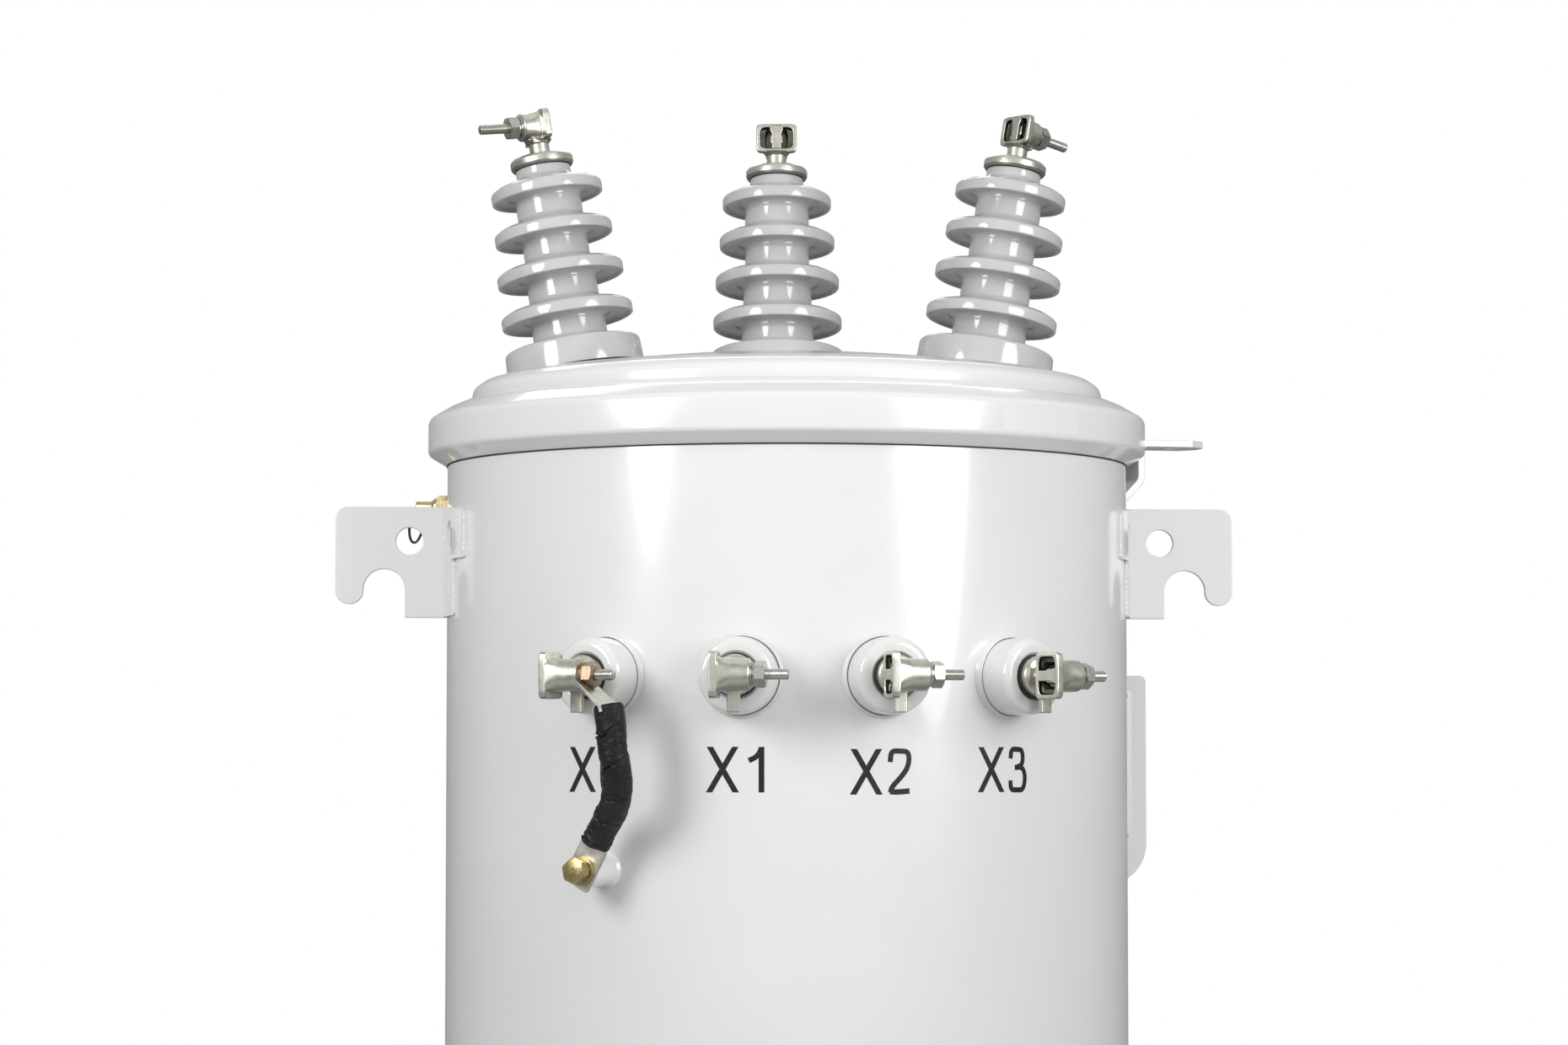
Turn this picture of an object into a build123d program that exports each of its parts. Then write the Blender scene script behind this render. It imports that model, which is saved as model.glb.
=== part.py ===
"""Pole mounted distribution transformer: round tank, domed cover, three high voltage bushings on the
cover, four low voltage bushings in a row on the front, lifting lugs, pole hangers and a ground strap.

The origin is on the tank's axis at its lower rim. +Z is up, the low voltage side faces -Y, and an
azimuth is measured from the front towards +X. Millimetres throughout."""

from build123d import *
from math import asin, cos, degrees, radians, sin, sqrt, tan
import os

os.makedirs("parts", exist_ok=True)

# ---- Tank ----
TANK_R = 300.0
TANK_H = 880.0
RIM_T = 4.0
BOTTOM_T = 5.0
BOTTOM_RECESS = 18.0
SEAT_GAP = 0.3

# ---- Clamp band round the joint of tank and cover ----
BAND_STEP = 17.0
BAND_T = 3.0
BAND_BEVEL_H = 10.5
BAND_FACE_H = 29.5
BAND_TOP_SLOPE_H = 10.5
BAND_TOP_SLOPE_W = 18.0
BAND_TOP_H = 7.0
BAND_TOP_INSET = 20.0
LIP_T = 4.0
LIP_CLEAR = 1.5
GASKET_T = 6.0
BAND_GAP_W = 14.0
BAND_EAR_T = 8.0
BAND_EAR_REACH = 26.0
BAND_BOLT_R = 5.0

# ---- Cover ----
COVER_T = 3.0
COVER_INSET = 21.5
COVER_WALL_H = 15.0
COVER_SHOULDER_W = 32.0
COVER_SHOULDER_H = 14.0
DOME_RISE = 22.0

# ---- High voltage bushings: azimuth, distance in from the cover's edge, lean, and where each stud points ----
HV_PLACES = {
    "h1": (-116.5, 72.5, 10.5, -67.0),
    "h2": (179.0, 98.5, 7.4, 177.0),
    "h3": (116.5, 72.5, 10.5, 124.0),
}
HV_PAD_MARGIN = 0.5
HV_PAD_H = 6.5
HV_FLANGE_R = 63.3
HV_FLANGE_H = 26.0
HV_FLANGE_DRAFT = 1.5
HV_FLANGE_CORNER = 3.0
HV_SHED_R = (60.2, 57.9, 54.0, 51.0)
HV_SHED_T = 13.0
HV_SHED_FIRST = 29.2
HV_SHED_PITCH = 38.6
HV_SHED_SLOPE = 3.0
HV_NECK_R = (34.0, 32.0, 30.0, 30.0)
HV_TOP_NECK_R = 25.0
HV_TOP_NECK_H = 22.0
CAP_R = 28.8
CAP_H = 12.5

# ---- Terminal connector: a headed stud drawn through a casting that has two grooved jaws ----
JAW_W = 38.5
JAW_H = 28.0
JAW_T = 5.0
LIP_T_JAW = 4.0
GROOVE_DEPTH = 16.0
WEB_T = 6.0
FOOT_T = 4.0
COLUMN_W = 8.0
COLUMN_T = 4.0
NOSE_R = 5.8
NOSE_END = 15.5
CASTING_R = 11.0
CASTING_END = 33.0
HV_CASTING_END = 24.0
STUD_R = 4.1
STUD_CLEAR = 0.4
STUD_END = 63.0
NUT_FLATS = 19.0
NUT_T = 11.0
WASHER_R = 10.5
WASHER_T = 2.5
HV_STEM_R = 9.2
HV_STEM_H = 13.0
HV_STEM_OFFSET = 7.0

# ---- Low voltage bushings ----
LV_NAMES = ("x0", "x1", "x2", "x3")
LV_STEP = 22.4
LV_TURN = 0.5
LV_DROP = 189.0
LV_COLLAR_CLEAR = 0.5
LV_COLLAR_T = 2.3
LV_COLLAR_H = 8.0
LV_BODY_R = 32.0
LV_BODY_H = 34.0
LV_BODY_ROUND = 6.0
LV_HEAD_R = 17.0
LV_HEAD_H = 8.0
LV_STEM_R = 9.0
LV_STEM_H = 9.0
LV_STEM_OFFSET = 16.0
TONGUE_W = 11.0
TONGUE_T = 4.0
TONGUE_REACH = 30.0

# ---- Lifting lugs ----
LUG_T = 6.4
LUG_DROP = 35.0
LUG_H = 98.0
LUG_REACH = 98.0
LUG_HOLE_R = 12.0
LUG_HOLE_OUT = 33.0
LUG_HOLE_DOWN = 30.5
LUG_LEG_W = 37.0
LUG_NOTCH_W = 36.5
LUG_NOTCH_H = 43.0
LUG_FINGER_DROP = 12.0
LUG_FLANGE_T = 3.5
LUG_FLANGE_TURN = 19.5
LUG_FLANGE_STEP = 6.3
LUG_FLANGE_HOLE_TURN = 11.5
LUG_FLANGE_HOLE_W = 20.0
LUG_FLANGE_HOLE_H = 30.0

# ---- Pole hangers at the rear ----
HANGER_T = 6.4
HANGER_W = 150.0
HANGER_H = 100.0
HANGER_STAND = 70.0
HANGER_BOLT_R = 10.5
HANGER_SLOT_L = 34.0
HANGER_UPPER_DROP = 160.0
HANGER_LOWER_Z = 250.0

# ---- Arrester bracket, relief valve and nameplate ----
BRACKET_AZIMUTH = 98.5
BRACKET_T = 6.4
BRACKET_W = 45.0
BRACKET_RISE = 29.5
BRACKET_STRAP_H = 29.0
BRACKET_JOG_H = 19.0
BRACKET_FOOT_H = 32.0
BRACKET_TAB_L = 59.0
BRACKET_TAB_CORNER = 14.0
BRACKET_TAB_HOLE_R = 7.0
BRACKET_CLEAR = 1.5

VALVE_AZIMUTH = -100.0
VALVE_DROP = 32.0
VALVE_HEX = 18.0
VALVE_HEX_L = 17.5
VALVE_STEM_R = 5.5
VALVE_STEM_L = 16.5
RING_R = 16.0
RING_WIRE_R = 1.2
RING_CLEAR = 0.9

PLATE_BACK = 185.0
PLATE_W = 112.0
PLATE_H = 195.5
PLATE_T = 2.5
PLATE_DROP = 180.0
PLATE_UPPER_R = 6.0
PLATE_LOWER_R = 39.0
PLATE_ROOT = 4.0
NAMEPLATE_W = 84.0
NAMEPLATE_H = 140.0
NAMEPLATE_T = 0.8
NAMEPLATE_CORNER_R = 3.0

# ---- Ground boss and strap ----
GROUND_DROP = 347.0
GROUND_AZIMUTH = -33.3
GROUND_BOSS_R = 13.5
GROUND_BOSS_H = 33.0
GROUND_BOLT_R = 6.0
GROUND_BOLT_L = 24.0
GROUND_BOLT_CLEAR = 0.4
GROUND_WASHER_R = 12.0
GROUND_WASHER_T = 5.0
GROUND_HEAD_FLATS = 19.0
GROUND_HEAD_T = 9.0
STRAP_LUG_T = 3.0
STRAP_LUG_W = 26.0
STRAP_LUG_TURN = 29.5
STRAP_LUG_L = 24.5
STRAP_LUG_END = 14.0
STRAP_LUG_CORNER = 3.0
SLEEVE_R = 11.3
SLEEVE_TOP_OUT = 24.0
SLEEVE_TOP_DROP = 24.0
SLEEVE_TOP_TURN = 9.0
SLEEVE_END_RUN = 16.0
SLEEVE_ROUTE = (
    (-26.0, 66.5, 58.0),
    (-25.7, 62.5, 76.0),
    (-26.0, 55.5, 93.0),
    (-27.3, 46.5, 108.0),
)


def outward(azimuth):
    """Unit vector from the tank's axis towards an azimuth."""
    return Vector(sin(radians(azimuth)), -cos(radians(azimuth)), 0)


def sideways(azimuth):
    """Unit vector along the tank's wall, towards larger azimuths."""
    return Vector(cos(radians(azimuth)), sin(radians(azimuth)), 0)


def wall_plane(azimuth, height, reach=0.0):
    """Plane on the wall that faces outward: x runs along the wall, y upward."""
    origin = outward(azimuth) * (TANK_R + reach) + Vector(0, 0, height)
    return Plane(origin=origin, x_dir=sideways(azimuth), z_dir=outward(azimuth))


def parallel_path(points, thickness):
    """Points of a path that runs beside an open polyline, to its right, at a sheet's thickness."""
    normals = []
    for (x0, y0), (x1, y1) in zip(points, points[1:]):
        length = sqrt((x1 - x0) ** 2 + (y1 - y0) ** 2)
        normals.append(((y1 - y0) / length, -(x1 - x0) / length))
    normals = [normals[0]] + normals + [normals[-1]]
    result = []
    for (x, y), (ax, ay), (bx, by) in zip(points, normals, normals[1:]):
        scale = thickness / (1 + ax * bx + ay * by)
        result.append((x + (ax + bx) * scale, y + (ay + by) * scale))
    return result


def finish(part, label):
    """Label a finished piece and write it to its own file."""
    part.label = label
    export_step(part, f"parts/{label}.step")


# ---- Radii and heights that follow from the sizes above ----
band_r = TANK_R + BAND_STEP
band_top_r = TANK_R - BAND_TOP_INSET
cover_r = TANK_R - COVER_INSET
face_low_z = TANK_H + BAND_BEVEL_H
face_high_z = face_low_z + BAND_FACE_H
slope_z = face_high_z + BAND_TOP_SLOPE_H
band_top_z = slope_z + BAND_TOP_H
lip_r = band_r - BAND_T - LIP_CLEAR
lip_top_z = (face_low_z + face_high_z) / 2
flange_z = lip_top_z + GASKET_T
shoulder_z = band_top_z + COVER_WALL_H / 2
dome_r = cover_r - COVER_SHOULDER_W
dome_foot_z = shoulder_z + COVER_SHOULDER_H
dome_sphere_r = (dome_r**2 + DOME_RISE**2) / (2 * DOME_RISE)
dome_centre_z = dome_foot_z + DOME_RISE - dome_sphere_r
inner_bottom_z = BOTTOM_RECESS + BOTTOM_T

# ---- Tank: sealed housing with a lip under the band, and the rim that it stands on ----
with BuildPart() as tank_body:
    with BuildSketch(Plane.XZ):
        with BuildLine():
            Polyline(
                (0, inner_bottom_z),
                (TANK_R, inner_bottom_z),
                (TANK_R, lip_top_z - LIP_T),
                (lip_r, lip_top_z - LIP_T),
                (lip_r, lip_top_z),
                (0, lip_top_z),
                close=True,
            )
        make_face()
    revolve(axis=Axis.Z)
finish(tank_body.part, "tank_body")

with BuildPart() as tank_rim:
    with BuildSketch():
        Circle(TANK_R)
        Circle(TANK_R - RIM_T, mode=Mode.SUBTRACT)
    extrude(amount=inner_bottom_z)
finish(tank_rim.part, "tank_rim")

with BuildPart() as tank_bottom:
    with BuildSketch(Plane.XY.offset(BOTTOM_RECESS)):
        Circle(TANK_R - RIM_T - SEAT_GAP)
    extrude(amount=BOTTOM_T)
finish(tank_bottom.part, "tank_bottom")

with BuildPart() as cover_gasket:
    with BuildSketch(Plane.XY.offset(lip_top_z)):
        Circle(lip_r - 1)
        Circle(cover_r, mode=Mode.SUBTRACT)
    extrude(amount=GASKET_T)
finish(cover_gasket.part, "cover_gasket")


# ---- Cover: flange, wall, shoulder and dome in one sheet, with a pad for each bushing ----
def bushing_plane(name, reach=0.0):
    """Plane square to a high voltage bushing's axis, at a distance above the dome."""
    azimuth, inset, lean, stud_azimuth = HV_PLACES[name]
    distance = cover_r - inset
    axis = outward(azimuth) * sin(radians(lean)) + Vector(0, 0, cos(radians(lean)))
    foot = outward(azimuth) * distance + Vector(
        0, 0, dome_centre_z + sqrt(dome_sphere_r**2 - distance**2)
    )
    stud = outward(stud_azimuth)
    return Plane(origin=foot + axis * reach, x_dir=stud - axis * stud.dot(axis), z_dir=axis)


cover_path = [
    (cover_r, flange_z + COVER_T),
    (cover_r, shoulder_z),
    (cover_r - COVER_SHOULDER_W * 0.3, shoulder_z + COVER_SHOULDER_H * 0.55),
    (dome_r, dome_foot_z),
]
dome_turn = degrees(asin(dome_r / dome_sphere_r))
inner_sphere_r = dome_sphere_r - COVER_T
inner_dome_r = dome_r - COVER_T
inner_dome_z = dome_centre_z + sqrt(inner_sphere_r**2 - inner_dome_r**2)
inner_path = [(x - COVER_T, z - COVER_T) for x, z in cover_path[:-1]] + [(inner_dome_r, inner_dome_z)]
inner_turn = degrees(asin(inner_dome_r / inner_sphere_r))
dome_centre = (0, dome_centre_z)
with BuildPart() as cover:
    with BuildSketch(Plane.XZ):
        with BuildLine():
            Polyline((0, flange_z), (lip_r, flange_z), (lip_r, flange_z + COVER_T), *cover_path)
            CenterArc(dome_centre, dome_sphere_r, 90 - dome_turn, dome_turn)
            Line((0, dome_centre_z + dome_sphere_r), (0, flange_z))
        make_face()
    revolve(axis=Axis.Z)
    for hv_name in HV_PLACES:
        with BuildSketch(bushing_plane(hv_name, HV_PAD_H)):
            Circle(HV_FLANGE_R + HV_PAD_MARGIN)
        extrude(amount=-HV_PAD_H - DOME_RISE)
    with BuildSketch(Plane.XZ):
        with BuildLine():
            Polyline((0, flange_z - COVER_T), (cover_r - COVER_T, flange_z - COVER_T), *inner_path)
            CenterArc(dome_centre, inner_sphere_r, 90 - inner_turn, inner_turn)
            Line((0, dome_centre_z + inner_sphere_r), (0, flange_z - COVER_T))
        make_face()
    revolve(axis=Axis.Z, mode=Mode.SUBTRACT)
finish(cover.part, "cover")

# ---- Clamp band: one rolled section, split at the rear, where a bolt draws its ears together ----
band_path = [
    (TANK_R + SEAT_GAP, TANK_H),
    (band_r, face_low_z),
    (band_r, face_high_z),
    (band_r - BAND_TOP_SLOPE_W, slope_z),
    (band_top_r, band_top_z),
]
band_inner = parallel_path(band_path, -BAND_T)
band_ear_z = (face_low_z + face_high_z) / 2
band_ear_h = BAND_FACE_H - 4
ear_start = band_r - BAND_T
with BuildPart() as clamp_band:
    with BuildSketch(Plane.XZ):
        with BuildLine():
            Polyline(*band_path, *reversed(band_inner), close=True)
        make_face()
    revolve(axis=Axis.Z, revolution_arc=360)
    with Locations((0, band_r, band_ear_z)):
        Box(BAND_GAP_W, 6 * BAND_TOP_SLOPE_W, 4 * BAND_FACE_H, mode=Mode.SUBTRACT)
    for side in (-1, 1):
        ear_x = side * (BAND_GAP_W + BAND_EAR_T) / 2
        ear_y = ear_start + (BAND_EAR_REACH + BAND_T) / 2
        with Locations((ear_x, ear_y, band_ear_z)):
            Box(BAND_EAR_T, BAND_EAR_REACH + BAND_T, band_ear_h)
    bolt_y = band_r + BAND_EAR_REACH / 2
    with Locations(Plane(origin=(0, bolt_y, band_ear_z), z_dir=(1, 0, 0))):
        Cylinder(BAND_BOLT_R + STUD_CLEAR, BAND_GAP_W + 4 * BAND_EAR_T, mode=Mode.SUBTRACT)
    with Locations((0, 0, TANK_H)):
        Cylinder(TANK_R + SEAT_GAP, 2 * BAND_BEVEL_H, mode=Mode.SUBTRACT)
finish(clamp_band.part, "clamp_band")

ear_outer_x = BAND_GAP_W / 2 + BAND_EAR_T
with BuildPart() as band_bolt:
    with BuildSketch(Plane(origin=(-ear_outer_x, bolt_y, band_ear_z), z_dir=(1, 0, 0))):
        RegularPolygon(BAND_BOLT_R * 1.6, 6, major_radius=False)
    extrude(amount=-BAND_BOLT_R)
    with BuildSketch(Plane(origin=(-ear_outer_x, bolt_y, band_ear_z), z_dir=(1, 0, 0))):
        Circle(BAND_BOLT_R)
    extrude(amount=2 * ear_outer_x + 3 * BAND_BOLT_R)
    with BuildSketch(Plane(origin=(ear_outer_x, bolt_y, band_ear_z), z_dir=(1, 0, 0))):
        RegularPolygon(BAND_BOLT_R * 1.6, 6, major_radius=False)
    extrude(amount=BAND_BOLT_R * 1.6)
finish(band_bolt.part, "band_bolt")


# ---- Terminal connector, shared by all seven bushings ----
# In its plane x runs from the front of the jaws to the end of the stud, y across the jaws and z along
# the bushing. x = 0 is the front of the jaws and z = 0 the stud's height.
def connector_frame(plane, offset, height):
    """A connector's own plane, from the plane of the bushing that carries it."""
    origin = plane.from_local_coords(Vector(-offset, 0, height))
    return Plane(origin=origin, x_dir=plane.x_dir, z_dir=plane.z_dir)


def across(frame, x):
    """Plane square to the stud at a distance along it; its own x is the frame's y."""
    return Plane(origin=frame.from_local_coords(Vector(x, 0, 0)), x_dir=frame.y_dir, z_dir=frame.x_dir)


def make_casting(frame, end, stem_x, stem_r, stem_h, head_r=0.0, head_h=0.0):
    """Casting: two jaws joined by a web, a boss that the stud passes through, a foot and a stem.

    With a head it also has the round head under the stem and the tongue beside it."""
    foot_z = -JAW_H / 2 - FOOT_T
    foot_l = GROOVE_DEPTH + WEB_T
    with BuildPart() as casting:
        with BuildSketch(across(frame, 0)):
            for side in (-1, 1):
                with Locations((side * (JAW_W - JAW_T) / 2, 0)):
                    Rectangle(JAW_T, JAW_H)
        extrude(amount=GROOVE_DEPTH)
        with BuildSketch(across(frame, 0)):
            for side in (-1, 1):
                with Locations((side * (JAW_W / 2 - JAW_T), 0)):
                    Rectangle(2 * JAW_T, JAW_H)
        extrude(amount=LIP_T_JAW)
        with BuildSketch(across(frame, GROOVE_DEPTH)):
            Rectangle(JAW_W, JAW_H)
        extrude(amount=WEB_T)
        with BuildSketch(across(frame, GROOVE_DEPTH)):
            Circle(CASTING_R)
        extrude(amount=end - GROOVE_DEPTH)
        foot = Plane(
            origin=frame.from_local_coords(Vector(0, 0, foot_z)), x_dir=frame.x_dir, z_dir=frame.z_dir
        )
        with BuildSketch(foot):
            with Locations((foot_l / 2, 0)):
                Rectangle(foot_l, JAW_W - JAW_T)
        extrude(amount=FOOT_T)
        with BuildSketch(foot):
            with Locations((stem_x, 0)):
                Circle(stem_r)
        extrude(amount=-(stem_h - FOOT_T))
        if head_h:
            with BuildSketch(foot):
                with Locations((stem_x, -TONGUE_REACH / 2)):
                    Rectangle(TONGUE_W, TONGUE_REACH)
            extrude(amount=-TONGUE_T)
            with BuildSketch(foot.offset(-(stem_h - FOOT_T))):
                with Locations((stem_x, 0)):
                    Circle(head_r)
            extrude(amount=-head_h)
        with BuildSketch(across(frame, 0)):
            Circle(STUD_R + STUD_CLEAR)
        extrude(amount=end, mode=Mode.SUBTRACT)
    return casting.part


def make_stud(frame, end, washer_t):
    """Headed stud: a column across the front of the jaws, a nose behind it, the stud and its nut."""
    with BuildPart() as stud:
        with BuildSketch(across(frame, 0)):
            Rectangle(COLUMN_W, JAW_H)
        extrude(amount=COLUMN_T)
        with BuildSketch(across(frame, 0)):
            Circle(NOSE_R)
        extrude(amount=NOSE_END)
        with BuildSketch(across(frame, 0)):
            Circle(STUD_R)
        extrude(amount=STUD_END)
        if washer_t:
            with BuildSketch(across(frame, end)):
                Circle(WASHER_R)
            extrude(amount=washer_t)
        with BuildSketch(across(frame, end + (washer_t or STRAP_LUG_T))):
            RegularPolygon(NUT_FLATS / 2, 6, major_radius=False)
        extrude(amount=NUT_T)
    return stud.part


# ---- High voltage bushings: porcelain with a flange and four sheds, tinned cap, connector ----
hv_top = HV_FLANGE_H + HV_SHED_FIRST + 3 * HV_SHED_PITCH + HV_TOP_NECK_H
for hv_name in HV_PLACES:
    seat = bushing_plane(hv_name, HV_PAD_H)
    side_plane = Plane(origin=seat.origin, x_dir=seat.x_dir, z_dir=-seat.y_dir)
    with BuildPart() as porcelain:
        with BuildSketch(side_plane):
            with BuildLine():
                Polyline(
                    (0, 0),
                    (HV_FLANGE_R, 0),
                    (HV_FLANGE_R - HV_FLANGE_DRAFT, HV_FLANGE_H - HV_FLANGE_CORNER),
                    (HV_FLANGE_R - HV_FLANGE_DRAFT - HV_FLANGE_CORNER, HV_FLANGE_H),
                    (HV_NECK_R[0], HV_FLANGE_H + HV_SHED_SLOPE),
                    (HV_NECK_R[-1], HV_FLANGE_H + HV_SHED_FIRST + 3 * HV_SHED_PITCH),
                    (HV_TOP_NECK_R, HV_FLANGE_H + HV_SHED_FIRST + 3 * HV_SHED_PITCH),
                    (HV_TOP_NECK_R, hv_top),
                    (0, hv_top),
                    close=True,
                )
            make_face()
        revolve(axis=Axis(seat.origin, seat.z_dir))
        for step, (shed_r, neck_r) in enumerate(zip(HV_SHED_R, HV_NECK_R)):
            middle = HV_FLANGE_H + HV_SHED_FIRST + step * HV_SHED_PITCH
            half = HV_SHED_T / 2
            with BuildSketch(side_plane):
                with BuildLine():
                    Polyline(
                        (0, middle - half - HV_SHED_SLOPE / 2),
                        (neck_r, middle - half - HV_SHED_SLOPE / 2),
                        (shed_r - half, middle - half),
                        (shed_r, middle - half / 3),
                        (shed_r, middle + half / 3),
                        (shed_r - half / 2, middle + half),
                        (neck_r, middle + half + HV_SHED_SLOPE),
                        (0, middle + half + HV_SHED_SLOPE),
                        close=True,
                    )
                make_face()
            revolve(axis=Axis(seat.origin, seat.z_dir))
    finish(porcelain.part, f"hv_bushing_{hv_name}")

    with BuildPart() as cap:
        with BuildSketch(bushing_plane(hv_name, HV_PAD_H + hv_top)):
            Circle(CAP_R)
        extrude(amount=CAP_H)
    finish(cap.part, f"hv_cap_{hv_name}")

    connector_z = HV_PAD_H + hv_top + CAP_H + HV_STEM_H + JAW_H / 2
    hv_frame = connector_frame(bushing_plane(hv_name), HV_STEM_OFFSET, connector_z)
    hv_casting = make_casting(hv_frame, HV_CASTING_END, HV_STEM_OFFSET, HV_STEM_R, HV_STEM_H)
    finish(hv_casting, f"hv_casting_{hv_name}")
    finish(make_stud(hv_frame, HV_CASTING_END, WASHER_T), f"hv_stud_{hv_name}")

# ---- Low voltage bushings: collars on the tank, round bodies, and connectors on metal heads ----
lv_z = TANK_H - LV_DROP
lv_azimuths = {name: (step - 1.5) * LV_STEP + LV_TURN for step, name in enumerate(LV_NAMES)}
lv_connector_reach = LV_BODY_H + LV_HEAD_H + LV_STEM_H + JAW_H / 2
lv_collar_r = LV_BODY_R + LV_COLLAR_CLEAR + LV_COLLAR_T
with BuildPart() as lv_collars:
    for azimuth in lv_azimuths.values():
        with BuildSketch(wall_plane(azimuth, lv_z, -lv_collar_r / 2)):
            Circle(lv_collar_r)
            Circle(lv_collar_r - LV_COLLAR_T, mode=Mode.SUBTRACT)
        extrude(amount=lv_collar_r / 2 + LV_COLLAR_H)
    with Locations((0, 0, lv_z)):
        Cylinder(TANK_R + SEAT_GAP, 4 * lv_collar_r, mode=Mode.SUBTRACT)
finish(lv_collars.part, "lv_collars")

for lv_name, azimuth in lv_azimuths.items():
    with BuildPart() as lv_body:
        with BuildSketch(wall_plane(azimuth, lv_z, -LV_BODY_R / 2)):
            Circle(LV_BODY_R)
        extrude(amount=LV_BODY_R / 2 + LV_BODY_H)
        fillet(lv_body.faces().sort_by(Axis((0, 0, lv_z), outward(azimuth)))[-1].edges(), LV_BODY_ROUND)
        with Locations((0, 0, lv_z)):
            Cylinder(TANK_R + SEAT_GAP, 4 * LV_BODY_R, mode=Mode.SUBTRACT)
    finish(lv_body.part, f"lv_bushing_{lv_name}")

    lv_frame = connector_frame(wall_plane(azimuth, lv_z), LV_STEM_OFFSET, lv_connector_reach)
    lv_casting = make_casting(
        lv_frame, CASTING_END, LV_STEM_OFFSET, LV_STEM_R, LV_STEM_H, LV_HEAD_R, LV_HEAD_H
    )
    finish(lv_casting, f"lv_casting_{lv_name}")
    washer_t = 0 if lv_name == "x0" else WASHER_T
    finish(make_stud(lv_frame, CASTING_END, washer_t), f"lv_stud_{lv_name}")

# ---- Lifting lugs: upright plate with an eye and a hook notch, and a flange along the tank ----
lug_top_z = TANK_H - LUG_DROP
lug_bottom_z = lug_top_z - LUG_H
lug_root = TANK_R + SEAT_GAP
lug_tip = TANK_R + LUG_REACH
flange_r = lug_root + LUG_FLANGE_T
notch_in = TANK_R + LUG_LEG_W
notch_r = LUG_NOTCH_W / 2
notch_x = notch_in + notch_r
notch_spring_z = lug_bottom_z + LUG_NOTCH_H - notch_r
finger_w = lug_tip - notch_x - notch_r
for side, side_name in ((-1, "left"), (1, "right")):
    with BuildPart() as lug:
        with BuildSketch(Plane.XZ.offset(-LUG_T / 2)):
            with BuildLine():
                Polyline(
                    (side * lug_root, lug_bottom_z),
                    (side * lug_root, lug_top_z),
                    (side * lug_tip, lug_top_z),
                    (side * lug_tip, lug_bottom_z + LUG_FINGER_DROP),
                    (side * (notch_x + notch_r), lug_bottom_z + LUG_FINGER_DROP),
                    (side * (notch_x + notch_r), notch_spring_z),
                )
                ThreePointArc(
                    (side * (notch_x + notch_r), notch_spring_z),
                    (side * notch_x, notch_spring_z + notch_r),
                    (side * notch_in, notch_spring_z),
                )
                Polyline(
                    (side * notch_in, notch_spring_z),
                    (side * notch_in, lug_bottom_z),
                    (side * lug_root, lug_bottom_z),
                )
            make_face()
            with Locations((side * (TANK_R + LUG_HOLE_OUT), lug_top_z - LUG_HOLE_DOWN)):
                Circle(LUG_HOLE_R, mode=Mode.SUBTRACT)
        extrude(amount=LUG_T)
        upright = lug.edges().filter_by(Axis.Y)
        fillet(
            upright.filter_by(lambda e: abs(e.center().X * side - lug_tip) < 1)
            + upright.filter_by(
                lambda e: abs(e.center().Z - lug_bottom_z - LUG_FINGER_DROP) < 1
                and abs(e.center().X * side - notch_x - notch_r) < 1
            ),
            finger_w / 2 - 0.5,
        )
        for low_z, high_z, turn in (
            (lug_bottom_z, (lug_bottom_z + lug_top_z) / 2, LUG_FLANGE_TURN - LUG_FLANGE_STEP),
            ((lug_bottom_z + lug_top_z) / 2, lug_top_z, LUG_FLANGE_TURN),
        ):
            with BuildSketch(Plane.XY.offset(low_z)):
                with BuildLine():
                    far = outward(side * (90 - turn))
                    middle = outward(side * (90 - turn / 2))
                    near = Vector(side, 0, 0)
                    ThreePointArc(near * lug_root, middle * lug_root, far * lug_root)
                    Line(far * lug_root, far * flange_r)
                    ThreePointArc(far * flange_r, middle * flange_r, near * flange_r)
                    Line(near * flange_r, near * lug_root)
                make_face()
            extrude(amount=high_z - low_z)
        hole_azimuth = side * (90 - LUG_FLANGE_HOLE_TURN)
        with BuildSketch(wall_plane(hole_azimuth, lug_top_z - LUG_HOLE_DOWN, -LUG_T)):
            SlotOverall(LUG_FLANGE_HOLE_H, LUG_FLANGE_HOLE_W, rotation=90)
        extrude(amount=4 * LUG_T, mode=Mode.SUBTRACT)
    finish(lug.part, f"lifting_lug_{side_name}")

# ---- Pole hangers: a channel whose web stands off the tank, with a slot for the pole's bolt ----
for hanger_z, hanger_name in ((TANK_H - HANGER_UPPER_DROP, "upper"), (HANGER_LOWER_Z, "lower")):
    with BuildPart() as hanger:
        with BuildSketch(Plane.XY.offset(hanger_z - HANGER_H / 2)):
            with Locations((0, TANK_R + HANGER_STAND / 2 - HANGER_T)):
                Rectangle(HANGER_W, HANGER_STAND + 2 * HANGER_T)
                Rectangle(HANGER_W - 2 * HANGER_T, HANGER_STAND + 4 * HANGER_T, mode=Mode.SUBTRACT)
            with Locations((0, TANK_R + HANGER_STAND - HANGER_T / 2)):
                Rectangle(HANGER_W, HANGER_T)
        extrude(amount=HANGER_H)
        with Locations((0, 0, hanger_z)):
            Cylinder(TANK_R + SEAT_GAP, 2 * HANGER_H, mode=Mode.SUBTRACT)
        with BuildSketch(wall_plane(180, hanger_z, HANGER_STAND - 2 * HANGER_T)):
            SlotOverall(HANGER_SLOT_L, 2 * HANGER_BOLT_R, rotation=90)
        extrude(amount=4 * HANGER_T, mode=Mode.SUBTRACT)
    finish(hanger.part, f"pole_hanger_{hanger_name}")

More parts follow.
